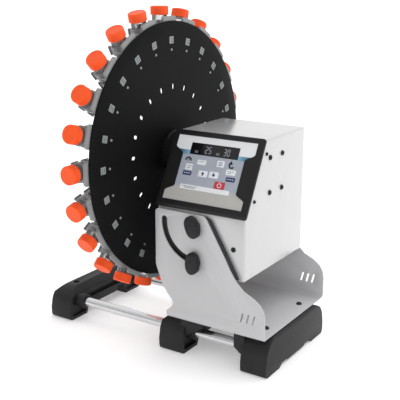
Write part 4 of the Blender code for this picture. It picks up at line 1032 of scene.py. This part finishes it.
def build_back_panel():
    """The round power socket and the rocker switch on the back wall."""
    outer = HEAD_HALF_DEPTH + GAP
    place = wall_place(1, INLET_SPOT[0], 0, INLET_SPOT[1])
    profile = [(outer - 9, 1), (outer - 9, 4.2), (outer + 1, 4.2), (outer + 1.6, 4.8)]
    profile += [(outer + 1.6, 9.8), (outer + 1.2, 10.5), (outer, 10.5), (outer, 8)]
    profile += [(outer - 12, 8), (outer - 12, 1)]
    inlet = new_object("power_inlet_look", turned(profile, 48, place, close=False), moulded_black)
    mount(inlet, "head_body", ["power_inlet"])
    bm = turned([(outer - 9.5, 1.1), (outer + 0.1, 1.1), (outer + 0.5, 0.7)], 20, place)
    mount(new_object("power_inlet_pin", bm, ground_steel), "head_body")

    x, z = SWITCH_SPOT
    bm = prism(rounded_box(x, z, 23.5, 16.5, 1.5, 5), outer, outer + 1.6, along_y)
    bezel = new_object("switch_bezel_look", bm, moulded_black)
    soften(bezel, 0.5, 3)
    cut(bezel, prism(rectangle(x, z, 17, 10), outer - 8, outer + 3, along_y))
    mount(bezel, "head_body", ["switch_bezel"])
    bm = prism(rectangle(x, z, 19.8, 12.8), outer - 13, outer - 9, along_y)
    mount(new_object("switch_back", bm, moulded_black), "head_body")

    # The rocker's face rises to its middle and falls away again less steeply
    end = 7.2
    steps = 8
    profile = [(-end, 1)]
    for step in range(steps + 1):
        profile.append((-end + end * step / steps, 4 + 2.2 * (step / steps) ** 1.4))
    for step in range(1, steps + 1):
        profile.append((end * step / steps, 6.2 - 0.6 * (step / steps) ** 0.7))
    profile += [(end, 1), (3, -3), (-3, -3)]
    bm = prism(profile, -4.4, 4.4, up_place(x, HEAD_HALF_DEPTH - 3, z))
    rocker = new_object("switch_rocker_look", bm, moulded_black)
    soften(rocker, 0.3, 2)
    mount(rocker, "switch_rocker_body", ["switch_rocker"])


# ---- Stand ----


def wall_outline():
    """A side wall seen from the front, in (x, z)."""
    right = PLATE_RIGHT
    left = HEAD_LEFT
    below_axis = [(right, 252), (right - 2.5, 239), (right - 10, 227), (right - 23, 217.5), (right - 44, 208)]
    below_axis += [(right - 58, 194), (right - 71, 175), (right - 82, 155), (left + 115, 89)]
    below_axis += [(left + 110, 83.5), (left + 105, 82), (left + 1.5, 82), (left + 1, 192), (left + 5.5, 205)]
    below_axis += [(left + 16, 232), (left + 27, 247), (left + 37, 258), (left + 39, 266), (left + 34, 274)]
    below_axis.append((left + 24, 281))
    return [(PLATE_LEFT, PLATE_Z), (right, PLATE_Z)] + [(x, AXIS_Z - depth) for x, depth in below_axis]


def channel_outline():
    """The folded base plate and its two walls, seen along x, in (y, z)."""
    top = PIVOT_Z + 60
    y = WALL_OUTER_Y - WALL_BEND
    z = PLATE_Z + WALL_BEND
    inner = WALL_BEND - WALL
    outside = [(-WALL_OUTER_Y, top)] + arc(-y, z, WALL_BEND, 180, 270, 12)
    outside += arc(y, z, WALL_BEND, 270, 360, 12) + [(WALL_OUTER_Y, top)]
    inside = [(WALL_OUTER_Y - WALL, top)] + arc(y, z, inner, 360, 270, 12)
    inside += arc(-y, z, inner, 270, 180, 12) + [(WALL - WALL_OUTER_Y, top)]
    return outside + inside


def slot_outline():
    """The arc slot round the pivot that the locking knob runs in, with round ends."""
    start, end = 177.5, 272.5
    points = arc(PIVOT_X, PIVOT_Z, SLOT_RADIUS + SLOT_HALF_WIDTH, start, end, 40)
    low = arc(PIVOT_X, PIVOT_Z, SLOT_RADIUS, end, end, 1)[0]
    points += arc(*low, SLOT_HALF_WIDTH, end, end + 180, 12)[1:-1]
    points += arc(PIVOT_X, PIVOT_Z, SLOT_RADIUS - SLOT_HALF_WIDTH, end, start, 40)
    high = arc(PIVOT_X, PIVOT_Z, SLOT_RADIUS, start, start, 1)[0]
    return points + arc(*high, SLOT_HALF_WIDTH, start + 180, start + 360, 12)[1:-1]


PLATE_SCREW_Y = 68
PLATE_SCREW_SPOTS = [(HEAD_LEFT + x, y) for x in (42, 210) for y in (-PLATE_SCREW_Y, PLATE_SCREW_Y)]


def build_stand():
    bm = prism(channel_outline(), HEAD_LEFT - 15, PLATE_RIGHT + 5, along_x)
    stand = new_object("stand_look", bm, grey_coat)
    walls = round_corners(wall_outline(), 9, 6)
    combine(stand, "INTERSECT", prism(walls, -WALL_OUTER_Y - 5, WALL_OUTER_Y + 5, along_y))
    bm = bmesh.new()
    for side in (-1, 1):
        low, high = span(side, WALL_OUTER_Y - 5, WALL_OUTER_Y + 2)
        add_prism(bm, circle(PIVOT_X, PIVOT_Z, PIVOT_HOLE_RADIUS, 32), low, high, along_y)
        add_prism(bm, slot_outline(), low, high, along_y)
        # Three slanting vents
        for index in range(3):
            x = PLATE_RIGHT - 47 + 12 * index
            vent = [(x - 4.4, AXIS_Z - 268), (x - 0.4, AXIS_Z - 268)]
            vent += [(x + 4.4, AXIS_Z - 249), (x + 0.4, AXIS_Z - 249)]
            add_prism(bm, round_corners(vent, 1.6, 4), low, high, along_y)
    cut(stand, bm)
    soften(stand, 0.4, 2, 50)
    mount(stand, "stand_body", ["stand"])
    bm = bmesh.new()
    for x, y in PLATE_SCREW_SPOTS:
        add_screw(bm, up_place(x, y, PLATE_Z + WALL + GAP), *PLATE_SCREW)
    mount(new_object("plate_screws", bm, screw_black), "stand_body")


FOOT_WIDTH = 54
FOOT_HALF_LENGTH = 120.5
FOOT_POCKET = 8
COLLAR_RADIUS = 15


def foot_outline(arch, top):
    """A foot seen along x: pads at both ends, a stepped arch between, round shoulders."""
    half = [(34, arch * 0.6), (39, arch), (57, arch), (67, 0), (113, 0), (118, 2)]
    half += [(120.3, 8), (FOOT_HALF_LENGTH, 22)]
    half += arc(FOOT_HALF_LENGTH - 42, top - 40, 40, 8, 90, 14)
    return half + [(-y, z) for y, z in reversed(half)]


def foot_pocket(arch):
    """The recess in a foot's side: a rim follows the pads, the arch and the shoulders."""
    end = 113
    half = [(61, arch + 7), (72, 7), (end - 3, 7), (end, 12), (end, 22), (end - 4, 36)]
    half += [(end - 10, 45)]
    return half + [(-y, z) for y, z in reversed(half)]


def build_foot(name, arch, top, shaves, wing, collar):
    """One foot: shaved top edges, a wing under the base plate, and collars round the rods."""
    low, high = node_box(name)
    left, right = low.x, low.x + FOOT_WIDTH
    if name == "foot_right":
        left, right = high.x - FOOT_WIDTH, high.x
    foot = new_object(name + "_look", prism(foot_outline(arch, top), left, right, along_x), moulded_black)
    past_end = FOOT_HALF_LENGTH + 9.5
    wing_end = 110
    bm = bmesh.new()
    for side, shave in shaves:
        edge = left if side > 0 else right
        corner = [(edge - side, top + 1), (edge + side * (shave + 1), top + 1)]
        corner.append((edge - side, top - shave - 1))
        add_prism(bm, corner, -past_end, past_end, along_y)
    cut(foot, bm)
    if name != "foot_right":
        cut(foot, prism(foot_pocket(arch), right - FOOT_POCKET, right + 1, along_x))
    if wing:
        edge = right if name == "foot_middle" else left
        join(foot, prism([(edge + u, SEAT_Z + v) for u, v in wing], -wing_end, wing_end, along_y))
    else:
        bm = bmesh.new()
        for y in (-PLATE_SCREW_Y, PLATE_SCREW_Y):
            add_prism(bm, circle((left + right) / 2, y, 6, 32), top - 9, top + 3, along_z)
        cut(foot, bm)
    soften(foot, 1.6, 3, 32)
    if collar:
        profile = [(right - FOOT_POCKET - 2, COLLAR_RADIUS), (right + collar - 1, COLLAR_RADIUS)]
        profile.append((right + collar, COLLAR_RADIUS - 1))
        bm = bmesh.new()
        for y in (-ROD_Y, ROD_Y):
            add_turned(bm, profile, 40, side_place(1, 0, y, ROD_Z))
        join(foot, bm)
    # Rod holes, run out past both sides of the foot but not past the rods
    low_x = max(left - 60, rod_low.x - 0.5)
    high_x = min(right + 60, rod_high.x + 0.5)
    bm = bmesh.new()
    for y in (-ROD_Y, ROD_Y):
        add_prism(bm, circle(y, ROD_Z, ROD_RADIUS + GAP, 40), low_x, high_x, along_x)
    cut(foot, bm)
    mount(foot, "stand_body", [name])


def build_feet():
    build_foot("foot_outrigger", 27, 67, [(1, 14), (-1, 14)], [], 20)
    root = -FOOT_POCKET - 2
    wing = [(root, 0), (40, 0), (40, -10), (12, -27), (root, -40)]
    build_foot("foot_middle", 27, SEAT_Z, [(1, 14)], wing, 14)
    wing = [(2, 0), (-20, 0), (-20, -28), (-8, -38), (2, -42)]
    build_foot("foot_right", 7, SEAT_Z, [(-1, 4)], wing, 0)


def build_rods():
    low, high = rod_low.x, rod_high.x
    profile = [(low, ROD_RADIUS - 1), (low + 1, ROD_RADIUS), (high - 1, ROD_RADIUS)]
    profile.append((high, ROD_RADIUS - 1))
    for name, y in (("tie_rod_front", -ROD_Y), ("tie_rod_back", ROD_Y)):
        rod = new_object(name + "_look", turned(profile, 64, side_place(1, 0, y, ROD_Z)), rod_steel)
        mount(rod, "stand_body", [name])


# ---- Knobs ----


KNOB_HALF_WIDTH = 14
KNOB_HALF_LENGTH = 21
KNOB_NECK_RADIUS = 12
KNOB_COVER_RADIUS = 6.9
KNOB_BOLT_RADIUS = 4
KNOB_STEPS = 72


def knob_section(tilt, scale_u, scale_v):
    """An oval with a shallow flute on each flat side, turned by the tilt."""
    turn = math.radians(tilt)
    points = []
    for index in range(KNOB_STEPS):
        angle = 2 * math.pi * index / KNOB_STEPS
        flute = 1 - 0.07 * max(math.cos(2 * angle), 0) ** 2
        u = KNOB_HALF_WIDTH * math.cos(angle) * scale_u * flute
        v = KNOB_HALF_LENGTH * math.sin(angle) * scale_v
        points.append((u * math.cos(turn) + v * math.sin(turn), -u * math.sin(turn) + v * math.cos(turn)))
    return points


def build_knob(name, z, side, tilt):
    """An oval two-winged grip on a round neck, with a pressed-in cover and finger flutes."""
    face = WALL_OUTER_Y + GAP
    place = wall_place(side, PIVOT_X, 0, z)
    levels = [(2.2, 0.80, 0.86), (2.9, 0.92, 0.95), (4.2, 0.985, 0.99), (7, 1, 1), (12, 0.99, 0.995)]
    levels += [(14.6, 0.95, 0.97), (16.2, 0.86, 0.92), (17, 0.72, 0.84)]
    bm = bmesh.new()
    rings = []
    for depth, scale_u, scale_v in levels:
        section = knob_section(tilt, scale_u, scale_v)
        rings.append([bm.verts.new(place(u, v, face + depth)) for u, v in section])
    add_skin(bm, rings)
    knob = new_object(name + "_look", bm, moulded_black)
    recess = KNOB_COVER_RADIUS + GAP
    cut(knob, turned([(face + 16.2, recess), (face + 18, recess)], 40, place))
    neck = [(face, KNOB_NECK_RADIUS - 0.6), (face + 0.6, KNOB_NECK_RADIUS), (face + 3.6, KNOB_NECK_RADIUS)]
    bm = turned(neck, 48, place)
    cover = [(face + 15.6, KNOB_COVER_RADIUS), (face + 16.7, KNOB_COVER_RADIUS)]
    cover.append((face + 16.95, KNOB_COVER_RADIUS - 0.6))
    add_turned(bm, cover, 40, place)
    join(knob, bm)
    mount(knob, name + "_body", [name])
    bolt = [(HEAD_HALF_DEPTH - 8, KNOB_BOLT_RADIUS - 1), (HEAD_HALF_DEPTH - 7, KNOB_BOLT_RADIUS)]
    bolt.append((face + 1, KNOB_BOLT_RADIUS))
    mount(new_object(name + "_bolt", turned(bolt, 32, place), ground_steel), name + "_body")


# ---- CAD nodes that stay ----


def dress_nodes():
    # The linings' edges stand proud of the stand walls, and their dark band is partly the real lining and
    # partly painted shade of the gap between wall and head.
    looks = {"lining_front": lining_and_shade_black, "lining_back": lining_and_shade_black}
    looks.update({"bearing": ground_steel, "gear_motor": motor_grey})
    for node, material in looks.items():
        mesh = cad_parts[node].data
        mesh.materials.clear()
        mesh.materials.append(material)


# ---- Floor, light and camera ----


# Just below the feet, so that the two faces never share a plane
FLOOR_Z = -0.05
FLOOR_SIZE = 120000


def build_stage():
    bm = bmesh.new()
    bm.faces.new([bm.verts.new((x, y, FLOOR_Z)) for x, y in rectangle(0, 0, FLOOR_SIZE, FLOOR_SIZE)])
    floor_look = surface("floor_white", (248, 248, 248), 0.7, 0.15, 0.004, 60, 0.01, patch=3)
    shader = floor_look.node_tree.nodes["Principled BSDF"]
    set_inputs(shader, {"Emission Color": (1, 1, 1, 1), "Emission Strength": 0.3})
    floor = new_object("floor", bm, floor_look)

    build_world()
    add_sun("key", towards=(0.2, 0.3, 1), energy=0.55, spread=40)


# Brightness of the surround where it faces away from and towards its bright side
DIM_LEVEL = 0.32
BRIGHT_LEVEL = 1.1
BRIGHT_SIDE = (0.02, 0.62, 0.78)
# Heights on the unit sphere between which the white band above the horizon fades out
HORIZON_LOW = 0.07
HORIZON_TOP = 0.12


def build_world():
    """A soft studio surround: brighter above and behind, dimmer in front, with a white horizon."""
    world = bpy.data.worlds.new("studio")
    bpy.context.scene.world = world
    world.use_nodes = True
    tree = world.node_tree
    background = tree.nodes["Background"]
    direction = tree.nodes.new("ShaderNodeTexCoord").outputs["Generated"]
    dot = tree.nodes.new("ShaderNodeVectorMath")
    dot.operation = "DOT_PRODUCT"
    dot.inputs[1].default_value = Vector(BRIGHT_SIDE).normalized()
    tree.links.new(direction, dot.inputs[0])
    level = add_range(tree, dot.outputs["Value"], DIM_LEVEL, BRIGHT_LEVEL, -0.75, 0.9)
    split = tree.nodes.new("ShaderNodeSeparateXYZ")
    tree.links.new(direction, split.inputs["Vector"])
    horizon = add_range(tree, split.outputs["Z"], 1, 0, HORIZON_LOW, HORIZON_TOP)
    brighter = tree.nodes.new("ShaderNodeMath")
    brighter.operation = "MAXIMUM"
    tree.links.new(level, brighter.inputs[0])
    tree.links.new(horizon, brighter.inputs[1])
    tree.links.new(brighter.outputs["Value"], background.inputs["Strength"])
    background.inputs["Color"].default_value = (1, 1, 1, 1)


def add_sun(name, towards, energy, spread):
    light = bpy.data.lights.new(name, "SUN")
    light.energy = energy
    light.angle = math.radians(spread)
    sun = add_object(name, light)
    sun.rotation_euler = Vector(towards).to_track_quat("Z", "Y").to_euler()


# The viewpoint: place in metres, direction in degrees, lens in millimetres
CAMERA_PLACE = (0.86545, -1.26851, 0.70016)
CAMERA_AZIMUTH = 33.031
CAMERA_ELEVATION = 15.691
CAMERA_ROLL = -0.05
CAMERA_LENS = 71.683


def build_camera():
    azimuth, elevation = math.radians(CAMERA_AZIMUTH), math.radians(CAMERA_ELEVATION)
    roll = math.radians(CAMERA_ROLL)
    outwards = math.cos(elevation)
    back = Vector((math.sin(azimuth) * outwards, -math.cos(azimuth) * outwards, math.sin(elevation)))
    level = Vector((math.cos(azimuth), math.sin(azimuth), 0))
    upright = back.cross(level)
    right = math.cos(roll) * level + math.sin(roll) * upright
    up = math.cos(roll) * upright - math.sin(roll) * level
    data = bpy.data.cameras.new("camera")
    data.lens = CAMERA_LENS
    data.sensor_width = 36
    camera = add_object("camera", data)
    matrix = Matrix((right, up, back)).transposed().to_4x4()
    matrix.translation = Vector(CAMERA_PLACE)
    camera.matrix_world = matrix
    bpy.context.scene.camera = camera


build_camera()
build_stage()
build_disc()
build_clips()
build_tubes()
build_hub()
build_clamp_nut()
build_housing()
build_panel_frame()
build_foil()
build_graphics()
build_display()
build_keys()
build_head_screws()
build_inside()
build_slot_shade_sheets()
build_back_panel()
build_stand()
build_feet()
build_rods()
build_knob("pivot_knob_front", PIVOT_Z, -1, -20)
build_knob("pivot_knob_back", PIVOT_Z, 1, -20)
build_knob("lock_knob_front", PIVOT_Z - LOCK_RADIUS, -1, 0)
build_knob("lock_knob_back", PIVOT_Z - LOCK_RADIUS, 1, 0)
dress_nodes()
bpy.context.scene.view_settings.view_transform = "Standard"
